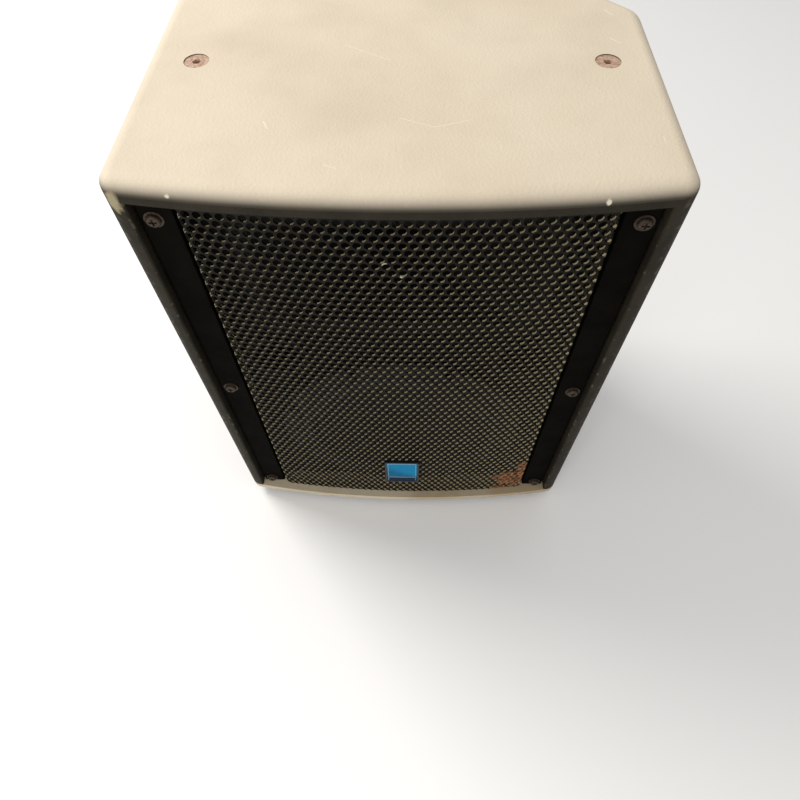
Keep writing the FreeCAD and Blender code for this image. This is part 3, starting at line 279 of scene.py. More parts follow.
    def stain(self) -> bpy.types.NodeTree:
        """A ragged patch round a point."""
        g, given = self.start("stain", ("Radius", "Scale", "Strength"), ("Centre", "Squash"))
        rel = g.vector("SUBTRACT", g.place(), given.outputs["Centre"]).outputs[0]
        away = g.vector("LENGTH", g.vector("MULTIPLY", rel, given.outputs["Squash"]).outputs[0]).outputs[1]
        ragged = g.calc("MULTIPLY", g.calc("MULTIPLY_ADD", g.noise(given.outputs["Scale"], 5.0), 2.0, 0.0),
                        given.outputs["Radius"])
        patch = g.calc("SUBTRACT", 1.0, g.step(away, g.calc("MULTIPLY", ragged, 0.5), ragged))
        return self.close(g, g.calc("MULTIPLY", patch, given.outputs["Strength"]))


EFFECTS = Effects()


# ---------------------------------------------------------------- finishes
@dataclass(frozen=True)
class Finish:
    """A mottled colour with grain, dust on faces that look up and rubbed edges; the dust amount and colour
    also set painted highlight in the cabinet and grille finishes.
    """

    name: str
    colour: Colour
    second: Colour
    roughness: float = 0.5
    rough_spread: float = 0.12
    metallic: float = 0.0
    sheen: float = 0.0
    coat: float = 0.0
    specular: float = 0.5
    mottle_scale: float = 40.0
    stretch: Point = (1.0, 1.0, 1.0)
    grain_scale: float = 900.0
    grain_height: float = 0.00005
    # Dust amount and colour; the cabinet and grille finishes also use them for painted highlight.
    dust_and_highlight: float = 0.0
    dust_and_highlight_colour: Colour = paint(150, 142, 126)
    wear: float = 0.0
    worn: Colour = paint(120, 116, 106)

    def mottled(self, g: Graph) -> bpy.types.NodeSocket:
        """The colour before dust and wear."""
        share = g.step(g.noise(self.mottle_scale, 4.0, self.stretch), 0.3, 0.7)
        return g.blend(share, self.colour, self.second)

    def relief(self, g: Graph) -> bpy.types.NodeSocket:
        """The height of the surface's grain."""
        rough = g.noise(self.grain_scale, 3.0, self.stretch)
        return g.calc("MULTIPLY", rough, self.grain_height)

    def surface(self, g: Graph) -> bpy.types.NodeSocket:
        """The colour with dust and wear on it."""
        colour = self.mottled(g)
        if self.dust_and_highlight:
            mask = g.effect(Effect.SETTLED_DUST, Amount=self.dust_and_highlight, Scale=60.0, Lowest=0.2, Highest=0.95)
            colour = g.blend(mask, colour, self.dust_and_highlight_colour)
        if self.wear:
            colour = g.blend(g.effect(Effect.WORN_EDGE, Amount=self.wear, Scale=140.0), colour, self.worn)
        return colour

    def gloss(self, g: Graph) -> bpy.types.NodeSocket:
        """The roughness over the surface."""
        cloud = g.noise(self.mottle_scale * 3, 3.0, self.stretch)
        return g.calc("MULTIPLY_ADD", cloud, self.rough_spread * 2, self.roughness - self.rough_spread)

    def material(self) -> bpy.types.Material:
        """Builds the finish, or gives it back if it is there already."""
        found = bpy.data.materials.get(self.name + "_finish")
        if found:
            return found
        made = bpy.data.materials.new(self.name + "_finish")
        made.use_nodes = True
        g = Graph(made.node_tree)
        shader = made.node_tree.nodes["Principled BSDF"]
        shader.inputs["Metallic"].default_value = self.metallic
        shader.inputs["Sheen Weight"].default_value = self.sheen
        shader.inputs["Coat Weight"].default_value = self.coat
        shader.inputs["Specular IOR Level"].default_value = self.specular
        bump = g.add("ShaderNodeBump", {"Height": self.relief(g), "Strength": 1.0, "Distance": 1.0})
        pairs = (("Base Color", self.surface(g)), ("Roughness", self.gloss(g)), ("Normal", bump.outputs[0]))
        for title, socket in pairs:
            made.node_tree.links.new(socket, shader.inputs[title])
        return made


@dataclass(frozen=True)
class CabinetPaint(Finish):
    """Sprayed texture coat: charcoal where it stands upright; where it looks up, a beige that is dust plus
    painted highlight of the light falling on top.
    """

    # Beige tones for faces that look up: dust plus painted highlight.
    highlight_and_dust: Colour = paint(224, 211, 190)
    highlight_and_dust_grey: Colour = paint(218, 204, 182)
    chip_colour: Colour = paint(246, 236, 214)
    bare_colour: Colour = paint(158, 147, 118)
    bare: tuple[tuple[Point, float], ...] = ()
    # Also paints highlight on faces that look ahead, as on the lower lip.
    painted_front_highlight: bool = False
    scratches: tuple[tuple[Point, Point, float, float], ...] = ()
    chips: tuple[tuple[Point, float], ...] = ()

    def relief(self, g: Graph) -> bpy.types.NodeSocket:
        """The texture coat's height."""
        return g.effect(Effect.ORANGE_PEEL, Scale=self.grain_scale, Height=self.grain_height)

    def front_highlight_mask(self, g: Graph) -> bpy.types.NodeSocket:
        """Painted highlight that carries on down a rounded front edge and over the front face."""
        apart = g.add("ShaderNodeSeparateXYZ", {0: g.facing()})
        ahead = g.step(g.calc("MULTIPLY", apart.outputs[1], -1.0), 0.3, 0.6)
        return g.calc("MULTIPLY", ahead, g.step(apart.outputs[2], -0.85, -0.2))

    def surface(self, g: Graph) -> bpy.types.NodeSocket:
        """Charcoal, beige painted highlight with dust, specks, scratches and chips over each other."""
        rubbed = g.effect(Effect.WORN_EDGE, Amount=self.wear, Scale=170.0)
        colour = g.blend(rubbed, self.mottled(g), self.worn)
        # Painted highlight with dust: faces that look up turn beige, as where light falls on top.
        top_highlight_and_dust = g.effect(Effect.SETTLED_DUST, Amount=self.dust_and_highlight, Scale=24.0, Lowest=0.0, Highest=0.88)
        # Painted highlight on the lower lip's front face and rounding.
        if self.painted_front_highlight:
            top_highlight_and_dust = g.calc("MAXIMUM", top_highlight_and_dust, self.front_highlight_mask(g))
        # Two beige tones of the painted highlight, mixed by slow noise.
        tone = g.blend(g.step(g.noise(9.0, 5.0), 0.35, 0.68), self.highlight_and_dust, self.highlight_and_dust_grey)
        colour = g.blend(top_highlight_and_dust, colour, tone)
        spots = g.effect(Effect.SPECKS, Scale=110.0, Radius=0.07, Amount=0.06)
        colour = g.blend(g.calc("MULTIPLY", spots, 0.45), colour, self.chip_colour)
        for start, end, width, strength in self.scratches:
            line = g.effect(Effect.SCRATCH, From=start, To=end, Width=width, Strength=strength)
            colour = g.blend(line, colour, self.chip_colour)
        for centre, radius in self.chips:
            patch = g.effect(Effect.STAIN, Centre=centre, Squash=(1, 1, 1), Radius=radius, Scale=260.0,
                             Strength=0.7)
            colour = g.blend(patch, colour, self.chip_colour)
        for centre, radius in self.bare:
            patch = g.effect(Effect.STAIN, Centre=centre, Squash=(1, 1, 0.6), Radius=radius, Scale=120.0,
                             Strength=0.9)
            colour = g.blend(patch, colour, self.bare_colour)
        return colour


@dataclass(frozen=True)
class SheetPaint(Finish):
    """Dull black on perforated steel, with rust at one lower corner."""

    rust: Colour = paint(162, 112, 78)
    rust_dark: Colour = paint(104, 70, 48)
    patches: tuple[tuple[Point, float], ...] = ()
    flecks: tuple[tuple[Point, float], ...] = ()

    def surface(self, g: Graph) -> bpy.types.NodeSocket:
        """Black, then painted highlight on the sides of the holes that face up and left, then rust and stray
        flecks.
        """
        # Painted highlight: hole walls facing up and to the left take the beige colour as glints of light.
        facing_light = g.vector("DOT_PRODUCT", g.facing(), (-0.62, 0.0, 0.78)).outputs[1]
        painted_glint = g.calc("MULTIPLY", g.step(facing_light, 0.5, 0.9), self.dust_and_highlight)
        colour = g.blend(painted_glint, self.mottled(g), self.dust_and_highlight_colour)
        tone = g.blend(g.step(g.noise(240.0, 4.0), 0.35, 0.65), self.rust, self.rust_dark)
        for centre, radius in self.patches:
            inputs = {"Centre": centre, "Squash": (1.0, 0.6, 1.0), "Radius": radius, "Scale": 70.0,
                      "Strength": 0.95}
            colour = g.blend(g.effect(Effect.STAIN, **inputs), colour, tone)
        for centre, radius in self.flecks:
            fleck = g.effect(Effect.STAIN, Centre=centre, Squash=(1, 1, 1), Radius=radius, Scale=400.0,
                             Strength=0.9)
            colour = g.blend(fleck, colour, self.worn)
        return colour


@dataclass(frozen=True)
class Timber(Finish):
    """Ply with long grain along one axis."""

    def mottled(self, g: Graph) -> bpy.types.NodeSocket:
        """Grain lines over a slow change of tone."""
        grain = g.step(g.noise(self.mottle_scale * 6, 6.0, self.stretch), 0.35, 0.65)
        slow = g.noise(self.mottle_scale, 2.0)
        return g.blend(g.calc("MULTIPLY_ADD", grain, 0.6, g.calc("MULTIPLY", slow, 0.4)), self.colour,
                       self.second)


@dataclass(frozen=True)
class Enamel(Finish):
    """Badge blue, brighter across one slope and darker towards the foot."""

    centre: Point = (0.0, 0.0, 0.0)
    height: float = 0.05
    deep: Colour = paint(0, 30, 60)

    def mottled(self, g: Graph) -> bpy.types.NodeSocket:
        """A slanting change of blue with a dark foot."""
        rel = g.vector("SUBTRACT", g.place(), self.centre).outputs[0]
        apart = g.add("ShaderNodeSeparateXYZ", {0: rel})
        slant = g.calc("MULTIPLY_ADD", apart.outputs[0], 0.7, apart.outputs[2])
        upper = g.blend(g.step(slant, -self.height * 0.18, self.height * 0.18), self.second, self.colour)
        foot = g.step(apart.outputs[2], -self.height * 0.26, -self.height * 0.20)
        return g.blend(foot, self.deep, upper)


FINISHES: dict[str, Finish] = {
    finish.name: finish
    for finish in (
        # Cabinet panels: the beige on faces that look up is painted highlight with dust.
        CabinetPaint(
            "cabinet_paint", paint(41, 36, 26), paint(32, 28, 20),
            roughness=0.7, grain_scale=520.0, specular=0.18,
            grain_height=0.00018, dust_and_highlight=1.0, wear=0.4, worn=paint(104, 98, 78),
            scratches=(
                ((-0.0437, 0.0216, 0.516), (-0.0081, 0.0006, 0.516), 0.0004, 0.5),
                ((0.0011, -0.0714, 0.516), (0.0251, -0.0813, 0.516), 0.0004, 0.5),
                ((0.0251, -0.0813, 0.516), (0.0491, -0.0734, 0.516), 0.0004, 0.5),
                ((-0.0930, -0.0757, 0.516), (-0.0890, -0.0837, 0.516), 0.0006, 0.6),
                ((-0.0470, -0.1210, 0.516), (-0.0390, -0.1250, 0.516), 0.0005, 0.5),
                ((0.1768, -0.0984, 0.516), (0.1768, -0.0904, 0.516), 0.0005, 0.5),
                ((0.1618, 0.0317, 0.516), (0.1690, 0.0239, 0.516), 0.0006, 0.6),
                ((0.1638, 0.0752, 0.516), (0.1698, 0.0672, 0.516), 0.0006, 0.6),
            ),
            chips=(
                ((0.1347, -0.1440, 0.5065), 0.0026),
                ((-0.1467, -0.1418, 0.5075), 0.0022),
                ((-0.1600, -0.1390, 0.5040), 0.0019),
            ),
            bare=(((-0.1880, -0.1380, 0.4990), 0.0065),),
        ),
        # Bottom panel: beige painted highlight on its front face, with dust and painted highlight on its
        # up-facing ledge.
        CabinetPaint(
            "lower_lip_paint", paint(41, 36, 26), paint(32, 28, 20),
            roughness=0.7, grain_scale=520.0, specular=0.18,
            grain_height=0.00018, dust_and_highlight=1.0, wear=0.4, worn=paint(104, 98, 78), painted_front_highlight=True,
            highlight_and_dust=paint(198, 186, 162), highlight_and_dust_grey=paint(168, 150, 122),
        ),
        # Grille: its dust amount and colour set the painted glints on the hole walls.
        SheetPaint(
            "grille_paint", paint(23, 21, 15), paint(16, 15, 11),
            roughness=0.6, mottle_scale=60.0, specular=0.09,
            grain_height=0.00003, dust_and_highlight=0.95, dust_and_highlight_colour=paint(182, 168, 132), worn=paint(176, 168, 146),
            patches=(
                ((0.1360, -0.1363, 0.0550), 0.027), ((0.1260, -0.1372, 0.0200), 0.019),
                ((0.1470, -0.1350, 0.0880), 0.016),
            ),
            flecks=(((-0.0095, -0.1445, 0.4476), 0.0022), ((0.0033, -0.1445, 0.4351), 0.0018)),
        ),
        Finish("rail_paint", paint(11, 10, 7), paint(7, 6, 4), roughness=0.8, wear=0.15,
               worn=paint(40, 36, 28), specular=0.03),
        Timber("black_ply", paint(12, 12, 11), paint(8, 8, 7), roughness=0.85, stretch=(0.15, 1.0, 1.0),
               specular=0.08),
        Timber("bare_timber", paint(196, 158, 108), paint(160, 122, 78), roughness=0.65,
               stretch=(0.12, 1.0, 1.0)),
        Finish("aged_screw", paint(70, 58, 45), paint(44, 33, 25), roughness=0.6, metallic=0.5,
               mottle_scale=500.0),
        Finish("fly_steel", paint(206, 180, 158), paint(168, 130, 108), roughness=0.6, metallic=0.2,
               mottle_scale=420.0),
        Finish("zinc_steel", paint(168, 168, 164), paint(140, 140, 138), roughness=0.35, metallic=1.0,
               mottle_scale=220.0),
        Finish("black_rim", paint(20, 20, 20), paint(12, 12, 12), roughness=0.4, wear=0.3),
        Enamel(
            "badge_blue", paint(4, 120, 164), paint(2, 92, 130), roughness=0.55, grain_height=0.00001,
            centre=(0.0, -0.1467, 0.090), height=0.054, specular=0.1, deep=paint(2, 34, 58),
        ),
        Finish("badge_line", paint(150, 176, 190), paint(120, 150, 170), roughness=0.4),
        Finish("frame_paint", paint(20, 20, 19), paint(14, 14, 13), roughness=0.6, wear=0.2,
               worn=paint(60, 58, 52), specular=0.15),
        Finish("gasket_board", paint(42, 40, 36), paint(30, 28, 25), roughness=0.85, grain_scale=1400.0),
        Finish("surround_rubber", paint(26, 26, 26), paint(18, 18, 18), roughness=0.6, grain_height=0.00002),
        Finish("cone_paper", paint(40, 38, 35), paint(27, 26, 24), roughness=0.85, mottle_scale=160.0,
               grain_scale=1600.0),
        Finish("coil_copper", paint(196, 112, 66), paint(160, 84, 48), roughness=0.35, metallic=1.0,
               stretch=(1, 1, 8)),
        Finish("doped_cloth", paint(176, 132, 70), paint(148, 104, 50), roughness=0.8, mottle_scale=200.0,
               grain_scale=1800.0),
        Finish("ferrite", paint(52, 52, 54), paint(38, 38, 40), roughness=0.6, mottle_scale=120.0),
        Finish("horn_plastic", paint(14, 14, 13), paint(10, 10, 9), roughness=0.6, specular=0.12),
        Finish("driver_metal", paint(74, 74, 78), paint(54, 54, 58), roughness=0.4, metallic=0.7),
        Finish("diaphragm_alloy", paint(196, 196, 200), paint(176, 176, 182), roughness=0.3, metallic=1.0),
        Finish("foot_rubber", paint(30, 30, 29), paint(20, 20, 20), roughness=0.8, grain_scale=1500.0,
               dust_and_highlight=0.2),
        Finish("socket_plastic", paint(28, 28, 28), paint(20, 20, 20), roughness=0.45, wear=0.2),
        Finish("dish_paint", paint(38, 37, 35), paint(28, 27, 26), roughness=0.5, dust_and_highlight=0.4, wear=0.4,
               grain_height=0.0001),
        Finish("grip_rubber", paint(34, 34, 33), paint(25, 25, 25), roughness=0.75, grain_scale=1300.0,
               grain_height=0.00008, dust_and_highlight=0.4),
        Finish("nut_chrome", paint(200, 200, 200), paint(176, 176, 176), roughness=0.22, metallic=1.0),
        Finish("board_laminate", paint(150, 116, 62), paint(130, 98, 50), roughness=0.5, stretch=(1, 6, 1)),
        Finish("standoff_nylon", paint(224, 222, 210), paint(208, 206, 192), roughness=0.45),
        Finish("capacitor_sleeve", paint(214, 178, 54), paint(196, 158, 42), roughness=0.35, coat=0.3),
        Finish("resistor_ceramic", paint(232, 230, 222), paint(214, 210, 200), roughness=0.8),
        Finish("lead_sleeve", paint(34, 34, 36), paint(24, 24, 26), roughness=0.4),
        Finish("terminal_brass", paint(200, 168, 92), paint(172, 140, 70), roughness=0.35, metallic=1.0),
        Finish("felt", paint(206, 202, 190), paint(176, 172, 160), roughness=0.95, sheen=0.4,
               mottle_scale=120.0, grain_scale=1200.0, grain_height=0.0004),
    )
}


# ---------------------------------------------------------------- modelling steps
class Bench:
    """Modelling steps that the sub-assemblies share."""

    @staticmethod
    def clear() -> None:
        """Leaves object mode on and nothing selected."""
        active = bpy.context.view_layer.objects.active
        if active and active.mode != "OBJECT":
            bpy.ops.object.mode_set(mode="OBJECT")
        bpy.ops.object.select_all(action="DESELECT")

    @staticmethod
    def hold(piece: bpy.types.Object) -> None:
        """Makes the piece the only one selected."""
        Bench.clear()
        piece.select_set(True)
        bpy.context.view_layer.objects.active = piece

    @staticmethod
    def edit(piece: bpy.types.Object, kind: str = "VERT") -> None:
        """Opens the piece in edit mode with all of it selected."""
        Bench.hold(piece)
        bpy.ops.object.mode_set(mode="EDIT")
        bpy.ops.mesh.select_mode(type=kind)
        bpy.ops.mesh.select_all(action="SELECT")

    @staticmethod
    def pick(piece: bpy.types.Object, wanted: Callable[[bpy.types.MeshPolygon], bool]) -> None:
        """Selects the faces that pass a test and stays in edit mode.

        Args:
            piece: The piece in edit mode.
            wanted: Says for a face whether it is selected.
        """
        bpy.ops.mesh.select_mode(type="FACE")
        bpy.ops.mesh.select_all(action="DESELECT")
        bpy.ops.object.mode_set(mode="OBJECT")
        for face in piece.data.polygons:
            face.select = wanted(face)
        bpy.ops.object.mode_set(mode="EDIT")

    @staticmethod
    def pick_edges(piece: bpy.types.Object, wanted: Callable[[Vector, Vector], bool]) -> None:
        """Selects the edges whose two ends pass a test and stays in edit mode."""
        bpy.ops.mesh.select_mode(type="EDGE")
        bpy.ops.mesh.select_all(action="DESELECT")
        bpy.ops.object.mode_set(mode="OBJECT")
        corners = piece.data.vertices
        for edge in piece.data.edges:
            edge.select = wanted(corners[edge.vertices[0]].co, corners[edge.vertices[1]].co)
        bpy.ops.object.mode_set(mode="EDIT")

    @staticmethod
    def settle(piece: bpy.types.Object, merge: float = 1e-6, smooth: float = 35.0) -> bpy.types.Object:
        """Closes a piece: place into the mesh, doubles merged, faces outwards, shading by angle."""
        Bench.hold(piece)
        bpy.ops.object.transform_apply(location=True, rotation=True, scale=True)
        Bench.edit(piece)
        bpy.ops.mesh.remove_doubles(threshold=merge)
        bpy.ops.mesh.normals_make_consistent(inside=False)
        bpy.ops.object.mode_set(mode="OBJECT")
        bpy.ops.object.shade_smooth_by_angle(angle=math.radians(smooth))
        return piece

    @staticmethod
    def modify(piece: bpy.types.Object, kind: str, **settings: object) -> None:
        """Adds a modifier, sets it and applies it."""
        Bench.hold(piece)
        modifier = piece.modifiers.new(kind.lower(), kind)
        for key, value in settings.items():
            setattr(modifier, key, value)
        bpy.ops.object.modifier_apply(modifier=modifier.name)

    @staticmethod
    def block(name: str, low: Point, high: Point) -> bpy.types.Object:
        """A primitive block between two corners, to be shaped further."""
        Bench.clear()
        middle = [(a + b) / 2 for a, b in zip(low, high)]
        bpy.ops.mesh.primitive_cube_add(size=1.0, location=middle)
        piece = bpy.context.object
        piece.name = name
        piece.scale = [b - a for a, b in zip(low, high)]
        bpy.ops.object.transform_apply(location=True, rotation=True, scale=True)
        return piece

    @staticmethod
    def path(name: str, points: Sequence[Point]) -> bpy.types.Object:
        """A bare line of edges: a primitive plane merged to a point and extruded along."""
        Bench.clear()
        bpy.ops.mesh.primitive_plane_add(size=MM, location=points[0])
        piece = bpy.context.object
        piece.name = name
        bpy.ops.object.transform_apply(location=True, rotation=True, scale=True)
        Bench.edit(piece)
        bpy.ops.mesh.merge(type="CENTER")
        for before, after in zip(points, points[1:]):
            step = tuple(b - a for a, b in zip(before, after))
            bpy.ops.mesh.extrude_region_move(TRANSFORM_OT_translate={"value": step})
        bpy.ops.object.mode_set(mode="OBJECT")
        return piece

    @staticmethod
    def spin(piece: bpy.types.Object, centre: Point, axis: Point, degrees: float, steps: int) -> None:
        """Turns the whole piece about an axis and leaves a skin behind it."""
        Bench.edit(piece)
        bpy.ops.mesh.spin(steps=steps, angle=math.radians(degrees), center=centre, axis=axis)
        bpy.ops.object.mode_set(mode="OBJECT")

    @staticmethod
    def turn(piece: bpy.types.Object, centre: Point, axis: str, degrees: float) -> None:
        """Turns the mesh about a line through centre, along a row axis."""
        matrix = Matrix.Translation(centre) @ Matrix.Rotation(math.radians(degrees), 4, axis)
        piece.data.transform(matrix @ Matrix.Translation(-Vector(centre)))

    @staticmethod
    def copy(piece: bpy.types.Object, name: str) -> bpy.types.Object:
        """A copy with a mesh of its own."""
        twin = piece.copy()
        twin.data = piece.data.copy()
        twin.name = name
        bpy.context.scene.collection.objects.link(twin)
        return twin


def dress(piece: bpy.types.Object, slot: str) -> bpy.types.Object:
    """Gives a piece the finish of a material slot of the record."""
    piece.data.materials.clear()
    piece.data.materials.append(FINISHES[slot].material())
    return piece


def keep(names: dict[str, str], look: str = "") -> None:
    """Dresses CAD nodes that keep their shape.

    Args:
        names: The slot of each node, by node.
        look: A finish to use in place of the slot's own.
    """
    for name, slot in names.items():
        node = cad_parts[name]
        for place in node.material_slots:
            place.material = FINISHES[look or slot].material()
        LOG.info("dressed %s in %s", name, slot)


# ---------------------------------------------------------------- sub-assemblies
@dataclass
class Shell:
    """The six painted panels with what is screwed to them from outside."""

    panels: tuple[str, ...] = (
        "top_panel", "left_side_panel", "right_side_panel", "wedge_panel", "back_panel",
    )

    def build(self) -> None:
        """Dresses the panels and the fly points."""
        keep({name: "cabinet_paint" for name in self.panels})
        keep({"bottom_panel": "cabinet_paint"}, look="lower_lip_paint")
        keep({"fly_screws": "fly_steel", "fly_tee_nuts": "zinc_steel", "front_baffle": "black_ply"})
        keep({"baffle_cleats": "bare_timber", "cross_brace": "bare_timber"})


@dataclass
class Grille:
    """Perforated steel sheet, bowed across the front and folded back at both sides."""

    pitch: float = 7.94 * MM
    hole: float = 6.35 * MM
    thickness: float = 1.5 * MM
    bend: float = 3.0 * MM
    foot: float = 8.0 * MM
    bow: float = 1208.5 * MM
    holes_round: int = 12
    low: Vector = field(default_factory=lambda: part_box("grille")[0])
    high: Vector = field(default_factory=lambda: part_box("grille")[1])

    @property
    def row(self) -> float:
        """Height from one row of holes to the next."""
        return self.pitch * math.sqrt(3) / 2

    @property
    def half(self) -> float:
        """Half the width between the folded edges."""
        return self.high.x - self.foot

    def front(self, x: float) -> float:
        """Y of the sheet's face at x."""
        return self.low.y + self.bow - math.sqrt(self.bow ** 2 - x ** 2)

    def cell(self) -> bpy.types.Object:
        """One hexagon with its round hole and a second one half a pitch over, a row up."""
        Bench.clear()
        cells = []
        for x, z in ((0.0, 0.0), (self.pitch / 2, self.row)):
            rims = []
            for count, radius in ((6, self.pitch / math.sqrt(3)), (self.holes_round, self.hole / 2)):
                bpy.ops.mesh.primitive_circle_add(vertices=count, radius=radius, location=(x, 0, z),
                                                  rotation=(math.pi / 2, 0, 0))
                rims.append(bpy.context.object)
            bpy.ops.object.select_all(action="DESELECT")
            for rim in rims:
                rim.select_set(True)
            bpy.context.view_layer.objects.active = rims[0]
            bpy.ops.object.join()
            cell = bpy.context.object
            bpy.ops.object.transform_apply(location=True, rotation=True, scale=True)
            Bench.edit(cell, "EDGE")
            bpy.ops.mesh.bridge_edge_loops()
            bpy.ops.object.mode_set(mode="OBJECT")
            cells.append(cell)
            Bench.clear()
        for cell in cells:
            cell.select_set(True)
        bpy.context.view_layer.objects.active = cells[0]
        bpy.ops.object.join()
        return Bench.settle(bpy.context.object, 0.02 * MM)

    def field(self, width: float) -> bpy.types.Object:
        """The flat field of holes, cut through at its four borders."""
        sheet = self.cell()
        sheet.name = "grille_sheet"
        across = int(width / self.pitch) + 3
        up = int((self.high.z - self.low.z) / (2 * self.row)) + 3
        merge = {"use_merge_vertices": True, "merge_threshold": 0.02 * MM, "use_relative_offset": False,
                 "use_constant_offset": True}
        Bench.modify(sheet, "ARRAY", count=across, constant_offset_displace=(self.pitch, 0, 0), **merge)
        Bench.modify(sheet, "ARRAY", count=up, constant_offset_displace=(0, 0, 2 * self.row), **merge)
        start = Vector((-(across // 2) * self.pitch, 0, self.low.z - self.row * 1.1))
        sheet.data.transform(Matrix.Translation(start))
        Bench.edit(sheet)
        bpy.ops.mesh.remove_doubles(threshold=0.02 * MM)
        cuts = (
            ((-width / 2, 0, 0), (-1, 0, 0)), ((width / 2, 0, 0), (1, 0, 0)),
            ((0, 0, self.low.z), (0, 0, -1)), ((0, 0, self.high.z), (0, 0, 1)),
        )
        for point, outward in cuts:
            bpy.ops.mesh.select_all(action="SELECT")
            bpy.ops.mesh.bisect(plane_co=point, plane_no=outward, clear_outer=True)
        bpy.ops.object.mode_set(mode="OBJECT")
        return sheet

    def folded(self, run: float) -> tuple[float, float]:
        """Plan place of a point that lies run along the sheet from its middle.

        Args:
            run: Distance along the flat sheet, signed.

        Returns:
            X and Y on the sheet's outer face.
        """
        side, run = math.copysign(1.0, run), abs(run)
        straight = self.half - self.bend
        corner_y = self.front(straight) + self.bend
        arc = self.bend * math.pi / 2
        back = self.high.y - self.thickness - corner_y
        if run <= straight:
            return side * run, self.front(run)
        run -= straight
        if run <= arc:
            turn = run / self.bend
            return side * (straight + self.bend * math.sin(turn)), corner_y - self.bend * math.cos(turn)
        run -= arc
        if run <= back:
            return side * self.half, corner_y + run
        return side * (self.half + run - back), self.high.y - self.thickness

    def build(self) -> None:
        """Perforates, folds and thickens the sheet."""
        straight = self.half - self.bend
        back = self.high.y - self.thickness - self.front(straight) - self.bend
        width = 2 * (straight + self.bend * math.pi / 2 + back)
        sheet = self.field(width)
        Bench.edit(sheet, "EDGE")
        bpy.ops.mesh.select_all(action="DESELECT")
        edge = width / 2 - 0.01 * MM
        for side in (-1, 1):
            Bench.pick_edges(sheet, lambda a, b: side * a.x > edge and side * b.x > edge)
            bpy.ops.mesh.extrude_region_move(TRANSFORM_OT_translate={"value": (side * self.foot, 0, 0)})
        bpy.ops.object.mode_set(mode="OBJECT")
        for corner in sheet.data.vertices:
            corner.co.x, corner.co.y = self.folded(corner.co.x)
        Bench.edit(sheet)
        bpy.ops.mesh.normals_make_consistent(inside=False)
        bpy.ops.object.mode_set(mode="OBJECT")
        if sum(f.normal.y for f in sheet.data.polygons) > 0:
            sheet.data.flip_normals()
        Bench.modify(sheet, "SOLIDIFY", thickness=self.thickness, offset=-1.0)
        bpy.ops.object.shade_smooth_by_angle(angle=math.radians(30))
        dress(sheet, "grille_paint")
        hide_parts("grille")
        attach(sheet, Body.CABINET.value)
        LOG.info("grille_sheet: %d triangles", sum(len(f.vertices) - 2 for f in sheet.data.polygons))
        keep({"left_grille_rail": "rail_paint", "right_grille_rail": "rail_paint"})
        keep({"rail_screws": "aged_screw", "rail_washers": "aged_screw"})


@dataclass
class Badge:
    """A shallow black rim round a plain blue plate with two raised plain fields."""

    rim: float = 2.0 * MM
    sink: float = 0.9 * MM
    raised: float = 0.3 * MM
    low: Vector = field(default_factory=lambda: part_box("badge_rim")[0])
    high: Vector = field(default_factory=lambda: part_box("badge_rim")[1])

    def make_rim(self) -> None:
        """The frame: a block with rounded corners, sunk in the middle."""
        piece = Bench.block("badge_frame", tuple(self.low), tuple(self.high))
        Bench.edit(piece, "EDGE")
        Bench.pick_edges(piece, lambda a,
                         b: abs(a.y - b.y) > MM and abs(a.x - b.x) < MM and abs(a.z - b.z) < MM)
        bpy.ops.mesh.bevel(offset=self.rim, segments=6)
        Bench.pick(piece, lambda face: face.normal.y < -0.9)
        bpy.ops.mesh.inset(thickness=self.rim)
        bpy.ops.mesh.extrude_region_move(TRANSFORM_OT_translate={"value": (0, self.sink + 0.3 * MM, 0)})
        bpy.ops.object.mode_set(mode="OBJECT")
        Bench.modify(piece, "BEVEL", width=0.3 * MM, segments=2, limit_method="ANGLE",
                     angle_limit=math.radians(50))
        Bench.settle(piece)
        dress(piece, "black_rim")
        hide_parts("badge_rim")
        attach(piece, Body.CABINET.value)

    def make_plate(self) -> None:
        """The plate with its two raised fields and the thin line round them."""
        low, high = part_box("badge_plate")
        piece = Bench.block("badge_face", tuple(low), tuple(high))
        split = low.z + (high.z - low.z) * 0.26
        Bench.edit(piece)
        bpy.ops.mesh.bisect(plane_co=(0, 0, split), plane_no=(0, 0, 1))
        Bench.pick(piece, lambda face: face.normal.y < -0.9)
        bpy.ops.mesh.inset(thickness=1.3 * MM, use_individual=True)
        bpy.ops.mesh.inset(thickness=0.5 * MM, use_individual=True)
        bpy.ops.transform.translate(value=(0, -self.raised, 0))
        bpy.ops.mesh.inset(thickness=0.6 * MM, use_individual=True)
        bpy.ops.object.mode_set(mode="OBJECT")
        Bench.settle(piece, smooth=20.0)
        dress(piece, "badge_blue")
        piece.data.materials.append(FINISHES["badge_line"].material())
        for face in piece.data.polygons:
            slope = face.normal.y < -0.2 and abs(face.normal.x) + abs(face.normal.z) > 0.1
            face.material_index = 1 if slope else 0
        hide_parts("badge_plate")
        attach(piece, Body.CABINET.value)

    def build(self) -> None:
        """Makes both pieces."""
        self.make_rim()
        self.make_plate()
        LOG.info("badge built")


